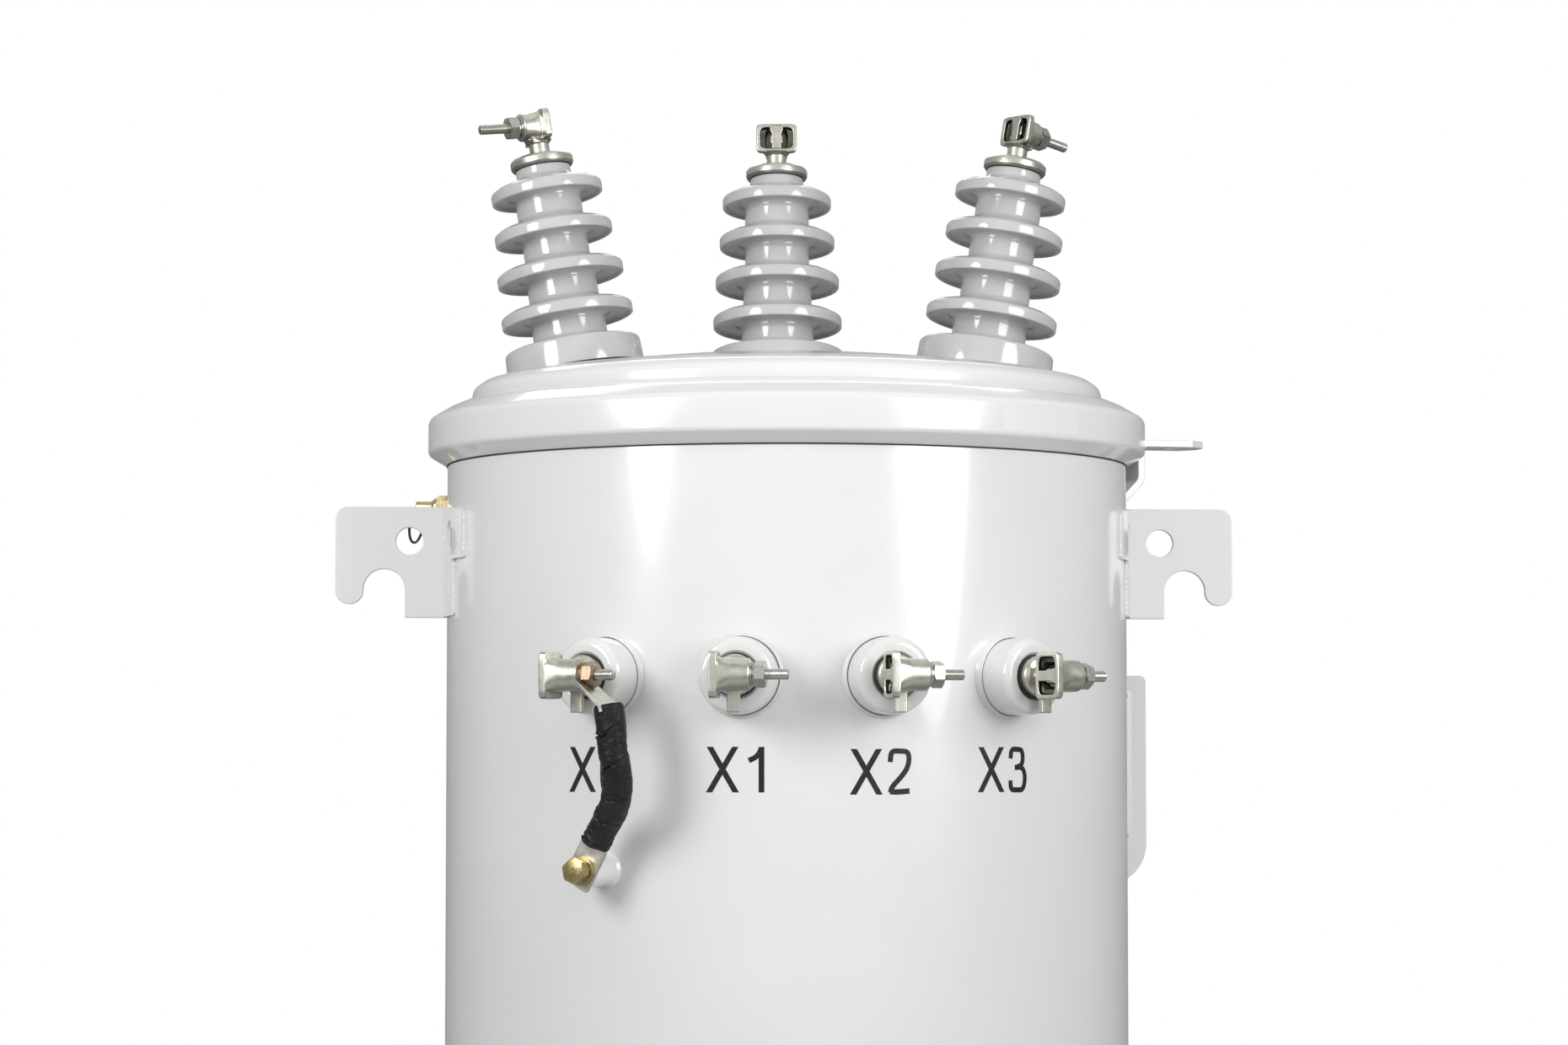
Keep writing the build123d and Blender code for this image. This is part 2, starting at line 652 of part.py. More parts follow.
# ---- Arrester bracket: foot on the wall, jog out past the band, strap and a tab with a hole ----
tab_top_z = TANK_H + BRACKET_RISE
strap_x = band_r + BRACKET_CLEAR
strap_low_z = tab_top_z - BRACKET_T - BRACKET_STRAP_H
foot_high_z = strap_low_z - BRACKET_JOG_H
bracket_path = [
    (TANK_R + SEAT_GAP, foot_high_z - BRACKET_FOOT_H),
    (TANK_R + SEAT_GAP, foot_high_z),
    (strap_x, strap_low_z),
    (strap_x, tab_top_z),
    (strap_x + BRACKET_T + BRACKET_TAB_L, tab_top_z),
]
tab_plane = Plane(
    origin=outward(BRACKET_AZIMUTH) * strap_x + Vector(0, 0, tab_top_z), x_dir=outward(BRACKET_AZIMUTH)
)
with BuildPart() as arrester_bracket:
    with BuildSketch(
        Plane(origin=(0, 0, 0), x_dir=outward(BRACKET_AZIMUTH), z_dir=-sideways(BRACKET_AZIMUTH))
    ):
        with BuildLine():
            Polyline(*bracket_path, *reversed(parallel_path(bracket_path, BRACKET_T)), close=True)
        make_face()
    extrude(amount=BRACKET_W / 2, both=True)
    with BuildSketch(tab_plane):
        with Locations((BRACKET_T + BRACKET_TAB_L * 0.55, 0)):
            Circle(BRACKET_TAB_HOLE_R)
    extrude(amount=-2 * BRACKET_T, mode=Mode.SUBTRACT)
    with Locations((0, 0, foot_high_z)):
        Cylinder(TANK_R + SEAT_GAP, 4 * BRACKET_FOOT_H, mode=Mode.SUBTRACT)
    tab_ends = arrester_bracket.edges().filter_by(Axis.Z).sort_by(Axis.Z)[-2:]
    chamfer(tab_ends, BRACKET_TAB_CORNER)
finish(arrester_bracket.part, "arrester_bracket")

# ---- Pressure relief valve: hexagon in the wall, stem, and a ring to pull ----
valve_z = TANK_H - VALVE_DROP
with BuildPart() as relief_valve:
    with BuildSketch(wall_plane(VALVE_AZIMUTH, valve_z, -VALVE_HEX)):
        RegularPolygon(VALVE_HEX / 2, 6, major_radius=False)
    extrude(amount=VALVE_HEX + VALVE_HEX_L)
    with BuildSketch(wall_plane(VALVE_AZIMUTH, valve_z, VALVE_HEX_L)):
        Circle(VALVE_STEM_R)
    extrude(amount=VALVE_STEM_L)
    with Locations((0, 0, valve_z)):
        Cylinder(TANK_R + SEAT_GAP, 4 * VALVE_HEX, mode=Mode.SUBTRACT)
    ring_hole_plane = wall_plane(VALVE_AZIMUTH, valve_z, VALVE_HEX_L + VALVE_STEM_L - 2 * RING_WIRE_R)
    with BuildSketch(Plane(origin=ring_hole_plane.origin, z_dir=ring_hole_plane.x_dir)):
        Circle(RING_WIRE_R + RING_CLEAR)
    extrude(amount=2 * VALVE_STEM_R, both=True, mode=Mode.SUBTRACT)
finish(relief_valve.part, "relief_valve")

with BuildPart() as pull_ring:
    ring_centre = ring_hole_plane.origin - Vector(0, 0, RING_R)
    with BuildSketch(Plane(origin=ring_centre + Vector(0, 0, RING_R), z_dir=sideways(VALVE_AZIMUTH))):
        Circle(RING_WIRE_R)
    revolve(axis=Axis(ring_centre, outward(VALVE_AZIMUTH)))
finish(pull_ring.part, "pull_ring")

# ---- Nameplate on a flat bracket that stands out beside the tank and faces the front ----
plate_wall_x = sqrt(TANK_R**2 - PLATE_BACK**2)
plate_tip_x = plate_wall_x + PLATE_W
plate_middle_z = TANK_H - PLATE_DROP - PLATE_H / 2
with BuildPart() as nameplate_bracket:
    with BuildSketch(Plane(origin=(0, PLATE_BACK, plate_middle_z), x_dir=(1, 0, 0), z_dir=(0, -1, 0))):
        with Locations((plate_tip_x - (PLATE_W + PLATE_ROOT) / 2, 0)):
            bracket_face = Rectangle(PLATE_W + PLATE_ROOT, PLATE_H)
        tip_corners = bracket_face.vertices().sort_by(Axis.X)[-2:].sort_by(Axis.Z)
        fillet(tip_corners[0], PLATE_LOWER_R)
        fillet(tip_corners[1], PLATE_UPPER_R)
    extrude(amount=PLATE_T)
    with Locations((0, 0, plate_middle_z)):
        Cylinder(TANK_R + SEAT_GAP, 2 * PLATE_H, mode=Mode.SUBTRACT)
finish(nameplate_bracket.part, "nameplate_bracket")

nameplate_margin = (PLATE_W - NAMEPLATE_W) / 2
with BuildPart() as nameplate:
    with BuildSketch(
        Plane(origin=(0, PLATE_BACK - PLATE_T, plate_middle_z), x_dir=(1, 0, 0), z_dir=(0, -1, 0))
    ):
        with Locations((plate_tip_x - nameplate_margin - NAMEPLATE_W / 2, nameplate_margin)):
            RectangleRounded(NAMEPLATE_W, NAMEPLATE_H, NAMEPLATE_CORNER_R)
    extrude(amount=NAMEPLATE_T)
finish(nameplate.part, "nameplate")

# ---- Ground boss with its bolt ----
ground_z = TANK_H - GROUND_DROP
with BuildPart() as ground_boss:
    with BuildSketch(wall_plane(GROUND_AZIMUTH, ground_z, -GROUND_BOSS_H)):
        Circle(GROUND_BOSS_R)
    extrude(amount=2 * GROUND_BOSS_H)
    with Locations((0, 0, ground_z)):
        Cylinder(TANK_R + SEAT_GAP, 4 * GROUND_BOSS_H, mode=Mode.SUBTRACT)
    with BuildSketch(wall_plane(GROUND_AZIMUTH, ground_z, GROUND_BOSS_H)):
        Circle(GROUND_BOLT_R + GROUND_BOLT_CLEAR)
    extrude(amount=-GROUND_BOLT_L, mode=Mode.SUBTRACT)
finish(ground_boss.part, "ground_boss")

head_reach = GROUND_BOSS_H + STRAP_LUG_T
with BuildPart() as ground_bolt:
    with BuildSketch(wall_plane(GROUND_AZIMUTH, ground_z, head_reach)):
        Circle(GROUND_WASHER_R)
    extrude(amount=GROUND_WASHER_T)
    with BuildSketch(wall_plane(GROUND_AZIMUTH, ground_z, head_reach + GROUND_WASHER_T)):
        RegularPolygon(GROUND_HEAD_FLATS / 2, 6, major_radius=False)
    extrude(amount=GROUND_HEAD_T)
    with BuildSketch(wall_plane(GROUND_AZIMUTH, ground_z, head_reach)):
        Circle(GROUND_BOLT_R)
    extrude(amount=-(GROUND_BOLT_L - GROUND_BOLT_CLEAR))
finish(ground_bolt.part, "ground_bolt")

# ---- Ground strap: a lug under the bolt, a lug under the nut of X0, and the sleeve between ----
lug_plane = wall_plane(GROUND_AZIMUTH, ground_z, GROUND_BOSS_H)
with BuildPart() as strap_lug_lower:
    with BuildSketch(lug_plane):
        with Locations(Location((0, 0), -STRAP_LUG_TURN)):
            with Locations((0, (STRAP_LUG_L - STRAP_LUG_END) / 2)):
                blade = Rectangle(STRAP_LUG_W, STRAP_LUG_L + STRAP_LUG_END)
        fillet(blade.vertices().sort_by(Axis.Y)[:2], STRAP_LUG_CORNER)
        Circle(GROUND_BOLT_R + GROUND_BOLT_CLEAR, mode=Mode.SUBTRACT)
    extrude(amount=STRAP_LUG_T)
finish(strap_lug_lower.part, "strap_lug_lower")
lower_turn = Vector(sin(radians(STRAP_LUG_TURN)), cos(radians(STRAP_LUG_TURN)), 0)

x0_frame = connector_frame(wall_plane(lv_azimuths["x0"], lv_z), LV_STEM_OFFSET, lv_connector_reach)
upper_path = [
    (CASTING_END, 0),
    (CASTING_END, -STRAP_LUG_W / 2),
    (CASTING_END + SLEEVE_TOP_OUT, -SLEEVE_TOP_DROP),
    (
        CASTING_END + SLEEVE_TOP_OUT + STRAP_LUG_T * sin(radians(SLEEVE_TOP_TURN)),
        -SLEEVE_TOP_DROP - STRAP_LUG_T * cos(radians(SLEEVE_TOP_TURN)),
    ),
]
with BuildPart() as strap_lug_upper:
    with BuildSketch(across(x0_frame, CASTING_END)):
        Circle(STRAP_LUG_W / 2)
    extrude(amount=STRAP_LUG_T)
    with BuildSketch(Plane(origin=x0_frame.origin, x_dir=x0_frame.x_dir, z_dir=x0_frame.z_dir)):
        with BuildLine():
            Polyline(*upper_path, *reversed(parallel_path(upper_path, -STRAP_LUG_T)), close=True)
        make_face()
    extrude(amount=STRAP_LUG_W / 2, both=True)
    with BuildSketch(across(x0_frame, 0)):
        Circle(STUD_R + STUD_CLEAR)
    extrude(amount=STUD_END, mode=Mode.SUBTRACT)
finish(strap_lug_upper.part, "strap_lug_upper")

sleeve_top = x0_frame.from_local_coords(Vector(*parallel_path(upper_path, -STRAP_LUG_T / 2)[-1], 0))
upper_turn = Vector(sin(radians(SLEEVE_TOP_TURN)), -cos(radians(SLEEVE_TOP_TURN)), 0)
sleeve_end = lug_plane.from_local_coords(lower_turn * STRAP_LUG_L + Vector(0, 0, STRAP_LUG_T / 2))
sleeve_points = [
    sleeve_top,
    sleeve_top + (x0_frame.from_local_coords(upper_turn) - x0_frame.origin) * SLEEVE_END_RUN,
    *(wall_plane(azimuth, lv_z - drop, reach).origin for azimuth, reach, drop in SLEEVE_ROUTE),
    sleeve_end + (lug_plane.from_local_coords(lower_turn) - lug_plane.origin) * SLEEVE_END_RUN,
    sleeve_end,
]
sleeve_runs = [after - before for before, after in zip(sleeve_points, sleeve_points[1:])]
sleeve_radii = []
for before, after in zip(sleeve_runs, sleeve_runs[1:]):
    half_turn = radians(before.get_angle(after)) / 2
    sleeve_radii.append(0.45 * min(before.length, after.length) / tan(half_turn))
print("sleeve radii", [round(radius, 1) for radius in sleeve_radii])
with BuildPart() as strap_sleeve:
    with BuildLine() as sleeve_path:
        FilletPolyline(*sleeve_points, radius=sleeve_radii)
    with BuildSketch(Plane(origin=sleeve_top, z_dir=sleeve_runs[0])):
        Circle(SLEEVE_R)
    sweep(path=sleeve_path.line)
finish(strap_sleeve.part, "strap_sleeve")
print("sleeve volume", round(strap_sleeve.part.volume), "length", round(sleeve_path.wires()[0].length, 1))
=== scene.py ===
"""Looks of a pole mounted transformer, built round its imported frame.

The tables and helpers work in millimetres in the frame's own axes: +Z up, the low voltage side faces
-Y, and an azimuth is measured from the front towards +X. Meshes are made in metres."""

import math

import bmesh
import bpy
from mathutils import Matrix, Vector


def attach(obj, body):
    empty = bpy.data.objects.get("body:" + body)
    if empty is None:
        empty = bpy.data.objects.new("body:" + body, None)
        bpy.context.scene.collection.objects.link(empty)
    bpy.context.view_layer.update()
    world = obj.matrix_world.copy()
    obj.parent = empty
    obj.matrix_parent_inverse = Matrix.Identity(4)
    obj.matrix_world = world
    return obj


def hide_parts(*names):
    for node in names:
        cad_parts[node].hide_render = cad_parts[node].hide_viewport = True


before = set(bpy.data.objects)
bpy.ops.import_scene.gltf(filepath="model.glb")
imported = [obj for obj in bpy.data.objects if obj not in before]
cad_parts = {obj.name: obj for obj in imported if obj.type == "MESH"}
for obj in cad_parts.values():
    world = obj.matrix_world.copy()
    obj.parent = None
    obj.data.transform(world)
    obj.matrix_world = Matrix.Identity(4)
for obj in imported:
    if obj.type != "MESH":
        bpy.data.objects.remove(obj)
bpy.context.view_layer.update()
MM = 0.001

# ---- Sizes shared with the frame, in millimetres ----
TANK_R, RIM_T, WALL_FOOT_Z = 300.0, 4.0, 23.0
LIP_R, LIP_LOW_Z, LIP_HIGH_Z = 312.0, 901.25, 905.0
BAND_R, BAND_TOP_R, BAND_T = 317.0, 280.0, 3.0
BAND_FACE_LOW, BAND_FACE_HIGH, BAND_SLOPE_Z, BAND_TOP_Z = 890.5, 920.0, 930.5, 937.5
BAND_GAP_W, BAND_EAR_T, BAND_EAR_REACH, BAND_BOLT_Z = 14.0, 8.0, 26.0, 905.2
COVER_R, COVER_SHOULDER_Z, COVER_SHOULDER_W, COVER_SHOULDER_H = 278.5, 945.0, 32.0, 14.0
COVER_FOOT_Z, DOME_RISE, DOME_SETTLED = 931.0, 22.0, 2.0
HV_PLACES = {
    "h1": (-116.5, 206.0, 10.5, -67.0),
    "h2": (179.0, 180.0, 7.4, 177.0),
    "h3": (116.5, 206.0, 10.5, 124.0),
}
HV_PAD_R, HV_PAD_H = 63.8, 6.5
HV_FLANGE_R, HV_FLANGE_H = 63.3, 26.0
HV_SHED_R, HV_NECK_R = (60.2, 57.9, 54.0, 51.0), (34.0, 32.0, 30.0, 30.0)
HV_SHED_FIRST, HV_SHED_PITCH = 29.2, 38.6
HV_TOP_NECK_R, HV_TOP_NECK_H = 25.0, 22.0
CAP_R, CAP_H = 28.8, 12.5
HV_STEM_R, HV_STEM_H, HV_STEM_OFFSET = 9.2, 13.0, 7.0
JAW_H, CASTING_END, HV_CASTING_END = 28.0, 33.0, 24.0
STUD_R, STUD_END, STUD_PITCH, BAND_BOLT_PITCH = 4.1, 63.0, 1.588, 1.5
NUT_FLATS, NUT_T, WASHER_R, WASHER_T = 19.0, 11.0, 10.5, 2.5
LV_NAMES, LV_STEP, LV_TURN, LV_Z = ("x0", "x1", "x2", "x3"), 22.4, 0.5, 691.0
LV_COLLAR_R, LV_COLLAR_T = 34.8, 2.3
LV_BODY_R, LV_BODY_H = 32.0, 34.0
LV_HEAD_R, LV_HEAD_H, LV_STEM_R, LV_STEM_H, LV_STEM_OFFSET = 17.0, 8.0, 9.0, 9.0, 16.0
TONGUE_W, TONGUE_REACH = 11.0, 30.0
LUG_T, LUG_TOP_Z, LUG_BOTTOM_Z, LUG_TIP = 6.4, 845.0, 747.0, 398.0
LUG_EYE = (333.0, 814.5, 12.0)
LUG_NOTCH_IN, LUG_NOTCH_W, LUG_NOTCH_H, LUG_FINGER_DROP = 337.0, 36.5, 43.0, 12.0
LUG_FLANGE_T, LUG_FLANGE_TURN, LUG_FLANGE_STEP, LUG_FLANGE_FALL = 3.5, 19.5, 6.3, 7.0
LUG_WINDOW_TURN, LUG_WINDOW_W, LUG_WINDOW_H = 11.5, 20.0, 30.0
HANGER_T, HANGER_W, HANGER_H, HANGER_STAND = 6.4, 150.0, 100.0, 70.0
HANGER_Z = {"upper": 720.0, "lower": 250.0}
HANGER_SLOT_R, HANGER_SLOT_L = 10.5, 34.0
BRACKET_AZIMUTH, BRACKET_T, BRACKET_W = 98.5, 6.4, 45.0
BRACKET_PATH = ((300.3, 823.1), (300.3, 855.1), (318.5, 874.1), (318.5, 909.5), (383.9, 909.5))
VALVE_AZIMUTH, VALVE_Z, VALVE_HEX, VALVE_HEX_L = -100.0, 848.0, 18.0, 17.5
VALVE_STEM_R, VALVE_STEM_L, RING_R, RING_WIRE_R = 5.5, 16.5, 16.0, 1.2
PLATE_BACK, PLATE_W, PLATE_T = 185.0, 112.0, 2.5
PLATE_TOP_Z, PLATE_BOTTOM_Z, PLATE_UPPER_R, PLATE_LOWER_R = 700.0, 504.5, 6.0, 39.0
NAMEPLATE_W, NAMEPLATE_H, NAMEPLATE_T = 84.0, 140.0, 0.8
GROUND_AZIMUTH, GROUND_Z, GROUND_BOSS_R, GROUND_BOSS_H = -33.3, 533.0, 13.5, 33.0
GROUND_WASHER_R, GROUND_HEAD_FLATS, GROUND_HEAD_T = 12.0, 19.0, 9.0
STRAP_T, STRAP_W, STRAP_TURN, STRAP_L, STRAP_END = 3.0, 26.0, 29.5, 24.5, 14.0
SLEEVE_R, SLEEVE_TOP_OUT, SLEEVE_TOP_DROP, SLEEVE_TOP_TURN, SLEEVE_END_RUN = 11.3, 24.0, 24.0, 9.0, 16.0
SLEEVE_ROUTE = ((-26.0, 66.5, 58.0), (-25.7, 62.5, 76.0), (-26.0, 55.5, 93.0), (-27.3, 46.5, 108.0))
LABEL_START, LABEL_TURN, LABEL_LOW_Z, LABEL_HIGH_Z = 30.8, 16.0, 894.0, 917.5

# ---- Sides of large turned parts, casting and thread detail, depth that paint is sunk ----
ROUND = 256
CASTING_VOXEL, CASTING_KEPT = 0.55, 0.3
THREAD_DEPTH_M, THREAD_CHAMFER_M = 0.0005, 0.0009
SUNK = 0.4


# ---- Places on the object ----
X_AXIS, Y_AXIS, Z_AXIS = Vector((1, 0, 0)), Vector((0, 1, 0)), Vector((0, 0, 1))


def outward(azimuth):
    """Unit vector from the tank's axis towards an azimuth."""
    return Vector((math.sin(math.radians(azimuth)), -math.cos(math.radians(azimuth)), 0))


def sideways(azimuth):
    """Unit vector along the tank's wall, towards larger azimuths."""
    return Vector((math.cos(math.radians(azimuth)), math.sin(math.radians(azimuth)), 0))


def at(azimuth, radius, height):
    """A point round the tank's axis."""
    return outward(azimuth) * radius + Vector((0, 0, height))


def lift(height):
    """A shift along z."""
    return Matrix.Translation((0, 0, height))


def frame_of(origin, x_axis, z_axis):
    """A place as a matrix, from its origin, its z axis and the direction its x axis leans to."""
    z_axis = z_axis.normalized()
    x_axis = (x_axis - z_axis * x_axis.dot(z_axis)).normalized()
    y_axis = z_axis.cross(x_axis)
    turn = Matrix((x_axis, y_axis, z_axis)).transposed()
    return Matrix.Translation(origin) @ turn.to_4x4()


def wall_frame(azimuth, height, reach=0.0):
    """On the wall and facing outward: x runs along the wall, y upward."""
    return frame_of(at(azimuth, TANK_R + reach, height), sideways(azimuth), outward(azimuth))


DOME_R = COVER_R - COVER_SHOULDER_W
DOME_FOOT_Z = COVER_SHOULDER_Z + COVER_SHOULDER_H
DOME_SPHERE_R = (DOME_R**2 + DOME_RISE**2) / (2 * DOME_RISE)
DOME_CENTRE_Z = DOME_FOOT_Z + DOME_RISE - DOME_SPHERE_R


def bushing_frame(name, reach=0.0):
    """Square to a high voltage bushing's axis, at a distance above the dome; x points as its stud does."""
    azimuth, distance, lean, stud_azimuth = HV_PLACES[name]
    axis = outward(azimuth) * math.sin(math.radians(lean)) + Vector((0, 0, math.cos(math.radians(lean))))
    foot = outward(azimuth) * distance
    foot.z = DOME_CENTRE_Z + math.sqrt(DOME_SPHERE_R**2 - distance**2)
    return frame_of(foot + axis * reach, outward(stud_azimuth), axis)


HV_TOP = HV_FLANGE_H + HV_SHED_FIRST + 3 * HV_SHED_PITCH + HV_TOP_NECK_H
HV_CONNECTOR_Z = HV_PAD_H + HV_TOP + CAP_H + HV_STEM_H + JAW_H / 2
LV_CONNECTOR_Z = LV_BODY_H + LV_HEAD_H + LV_STEM_H + JAW_H / 2


def hv_connector_frame(name):
    """A high voltage connector's own axes: x along the stud from the front, z along the bushing."""
    return bushing_frame(name) @ Matrix.Translation((-HV_STEM_OFFSET, 0, HV_CONNECTOR_Z))


def lv_azimuth(name):
    """Where a low voltage bushing stands round the tank."""
    return (LV_NAMES.index(name) - 1.5) * LV_STEP + LV_TURN


def lv_connector_frame(name):
    """A low voltage connector's own axes."""
    return wall_frame(lv_azimuth(name), LV_Z) @ Matrix.Translation((-LV_STEM_OFFSET, 0, LV_CONNECTOR_Z))


# ---- Making meshes ----
def soften(path, steps=5, closed=False):
    """Round the corners of a flat path: each corner is (x, y) or (x, y, radius)."""
    points = []
    for i, corner in enumerate(path):
        here = Vector(corner[:2])
        radius = corner[2] if len(corner) > 2 else 0
        if not radius or (not closed and i in (0, len(path) - 1)):
            points.append(here)
            continue
        before = (Vector(path[i - 1][:2]) - here).normalized()
        after = (Vector(path[(i + 1) % len(path)][:2]) - here).normalized()
        half = before.angle(after) / 2
        centre = here + (before + after).normalized() * (radius / math.sin(half))
        start = here + before * (radius / math.tan(half)) - centre
        end = here + after * (radius / math.tan(half)) - centre
        sweep = math.atan2(start.x * end.y - start.y * end.x, start.dot(end))
        for step in range(steps + 1):
            turn = sweep * step / steps
            c, s = math.cos(turn), math.sin(turn)
            points.append(centre + Vector((start.x * c - start.y * s, start.x * s + start.y * c)))
    return points


def turned(profile, sides=96, closed=False):
    """Turn a profile of (radius, height) about z. A radius or height may be a function of the angle."""
    verts, faces, rings = [], [], []
    for radius, height in profile:
        if not callable(radius) and abs(radius) < 1e-6:
            rings.append([len(verts)] * sides)
            verts.append(Vector((0, 0, height)))
            continue
        rings.append(list(range(len(verts), len(verts) + sides)))
        for k in range(sides):
            angle = 2 * math.pi * k / sides
            r = radius(angle) if callable(radius) else radius
            z = height(angle) if callable(height) else height
            verts.append(Vector((r * math.cos(angle), r * math.sin(angle), z)))
    pairs = list(zip(rings, rings[1:] + rings[:1] if closed else rings[1:]))
    for low, high in pairs:
        for k in range(sides):
            face = [low[k], low[(k + 1) % sides], high[(k + 1) % sides], high[k]]
            face = list(dict.fromkeys(face))
            if len(face) > 2:
                faces.append(face)
    return verts, faces


def prism(outline, low, high):
    """A flat outline in x and y carried from one height to another, with flat ends."""
    count = len(outline)
    verts = [Vector((p[0], p[1], z)) for z in (low, high) for p in outline]
    faces = [list(range(count)), list(range(count, 2 * count))]
    faces += [[k, (k + 1) % count, count + (k + 1) % count, count + k] for k in range(count)]
    return verts, faces


def block(x, y, z):
    """A box between two values on each axis."""
    return prism([(x[0], y[0]), (x[1], y[0]), (x[1], y[1]), (x[0], y[1])], *z)


def placed(shape, matrix):
    """A shape moved to its place."""
    return [matrix @ v for v in shape[0]], shape[1]


def joined(shapes):
    """Several shapes as one."""
    verts, faces = [], []
    for shape_verts, shape_faces in shapes:
        start = len(verts)
        verts += shape_verts
        faces += [[start + i for i in face] for face in shape_faces]
    return verts, faces


def lofted(rows, closed=False):
    """Skin over rows of points, each a closed section, with flat ends unless the rows close too."""
    size, count = len(rows[0]), len(rows)
    verts = [point for row in rows for point in row]
    faces = []
    for k in range(count if closed else count - 1):
        low, high = k * size, (k + 1) % count * size
        for i in range(size):
            j = (i + 1) % size
            faces.append([low + i, low + j, high + j, high + i])
    if not closed:
        faces += [list(range(size)), list(range(len(verts) - size, len(verts)))]
    return verts, faces


def ring(profile, sides, steps=5):
    """A ring about z from a closed profile with rounded corners."""
    return turned(soften(profile, steps, closed=True), sides, closed=True)


def rounded(half_x, half_y, radius, steps=8):
    """The outline of a centred rectangle with rounded corners."""
    corners = ((-half_x, -half_y), (half_x, -half_y), (half_x, half_y), (-half_x, half_y))
    return soften([(*corner, radius) for corner in corners], steps, closed=True)


def bent_plate(side, thick):
    """The outline of a plate along a flat path, its thickness to the right of the way it runs."""
    other = []
    for i, here in enumerate(side):
        before, after = side[max(i - 1, 0)], side[min(i + 1, len(side) - 1)]
        along = (after - before).normalized()
        other.append(here + Vector((along.y, -along.x)) * thick)
    return [(p.x, p.y) for p in [*side, *reversed(other)]]


def mesh_of(name, shape):
    """A mesh in metres from a shape in millimetres, its faces pointing outwards."""
    mesh = bpy.data.meshes.new(name)
    work = bmesh.new()
    made = [work.verts.new(v * MM) for v in shape[0]]
    for face in shape[1]:
        if len(set(face)) > 2:
            work.faces.new([made[i] for i in face])
    bmesh.ops.remove_doubles(work, verts=work.verts, dist=1e-6)
    bmesh.ops.recalc_face_normals(work, faces=work.faces)
    work.to_mesh(mesh)
    work.free()
    return mesh


def link(name, mesh):
    """An object for a mesh, lamp or camera, linked to the scene."""
    obj = bpy.data.objects.new(name, mesh)
    bpy.context.scene.collection.objects.link(obj)
    return obj


def dress(obj, finish, stands_for=(), sharp=35):
    """Finish a piece: its material, shading, material slot, the body it rides on and what it stands for."""
    obj.data.materials.clear()
    obj.data.materials.append(finish)
    obj.data.shade_smooth()
    obj.data.set_sharp_from_angle(angle=math.radians(sharp))
    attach(obj, "root")
    if stands_for:
        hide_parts(*stands_for)
    return obj


def break_edges(obj, width, angle=50, segments=2):
    """Break an object's edges by a bevel of so many millimetres."""
    broken = obj.modifiers.new("broken edges", "BEVEL")
    broken.width, broken.segments = width * MM, segments
    broken.limit_method, broken.angle_limit = "ANGLE", math.radians(angle)
    broken.harden_normals = True


def piece(name, shape, finish, stands_for=(), sharp=35, bevel=0.0, bevel_angle=50):
    """A finished piece from a shape, its edges broken by a bevel if a width is given."""
    obj = dress(link(name, mesh_of(name, shape)), finish, stands_for, sharp)
    if bevel:
        break_edges(obj, bevel, bevel_angle, segments=3)
    return obj


def painted_plate(obj, bevel, stands_for=(), angle=50):
    """Finish a cut plate: flats tidied, edges broken, tank paint."""
    tidy_flats(obj)
    break_edges(obj, bevel, angle)
    return dress(obj, PAINT, stands_for, sharp=40)


def applied(obj):
    """Replace an object's mesh by what its modifiers make of it."""
    bpy.context.view_layer.update()
    graph = bpy.context.evaluated_depsgraph_get()
    made = bpy.data.meshes.new_from_object(obj.evaluated_get(graph), depsgraph=graph)
    obj.modifiers.clear()
    obj.data = made
    return obj


def taken(obj):
    """An object's mesh as a shape in millimetres; the object itself goes."""
    shape = [v.co / MM for v in obj.data.vertices], [list(p.vertices) for p in obj.data.polygons]
    bpy.data.objects.remove(obj)
    return shape


def combine(obj, shape, operation="DIFFERENCE"):
    """Cut a shape out of an object for good, or fuse it on."""
    tool = link("tool", mesh_of("tool", shape))
    knife = obj.modifiers.new("combined", "BOOLEAN")
    knife.operation, knife.solver, knife.object = operation, "EXACT", tool
    applied(obj)
    bpy.data.objects.remove(tool)


def tidy_flats(obj):
    """Merge doubled points and melt edges that lie in a flat."""
    work = bmesh.new()
    work.from_mesh(obj.data)
    bmesh.ops.remove_doubles(work, verts=work.verts, dist=1e-6)
    bmesh.ops.dissolve_limit(work, angle_limit=math.radians(0.5), verts=work.verts, edges=work.edges)
    bmesh.ops.recalc_face_normals(work, faces=work.faces)
    work.to_mesh(obj.data)
    work.free()


# ---- Materials ----
class Wired:
    """A node tree under construction."""

    place = None

    def __init__(self, tree):
        self.tree = tree

    def node(self, kind, inputs=(), **settings):
        """A node with settings, its inputs given as (socket, value or link) pairs."""
        made = self.tree.nodes.new(kind)
        for key, value in settings.items():
            setattr(made, key, value)
        for key, value in inputs:
            if isinstance(value, bpy.types.NodeSocket):
                self.tree.links.new(value, made.inputs[key])
            else:
                made.inputs[key].default_value = value
        return made

    def cloud(self, scale, detail=3.0, stretch=None, roughness=0.5, where=None):
        """Soft noise from 0 to 1, at so many features a metre."""
        where = where or self.place
        if stretch:
            where = self.node("ShaderNodeMapping", [("Vector", where), ("Scale", stretch)]).outputs[0]
        inputs = [("Scale", scale), ("Detail", detail), ("Roughness", roughness)]
        if where:
            inputs.append(("Vector", where))
        return self.node("ShaderNodeTexNoise", inputs).outputs["Fac"]

    def between(self, factor, low, high, start=0.3, end=0.7, **settings):
        """A value that runs from low to high as the factor passes from start to end."""
        limits = [("From Min", start), ("From Max", end), ("To Min", low), ("To Max", high)]
        return self.node("ShaderNodeMapRange", [("Value", factor), *limits], **settings).outputs[0]

    def eased(self, factor, low, high, start, end):
        """The same with soft ends."""
        return self.between(factor, low, high, start, end, interpolation_type="SMOOTHSTEP")


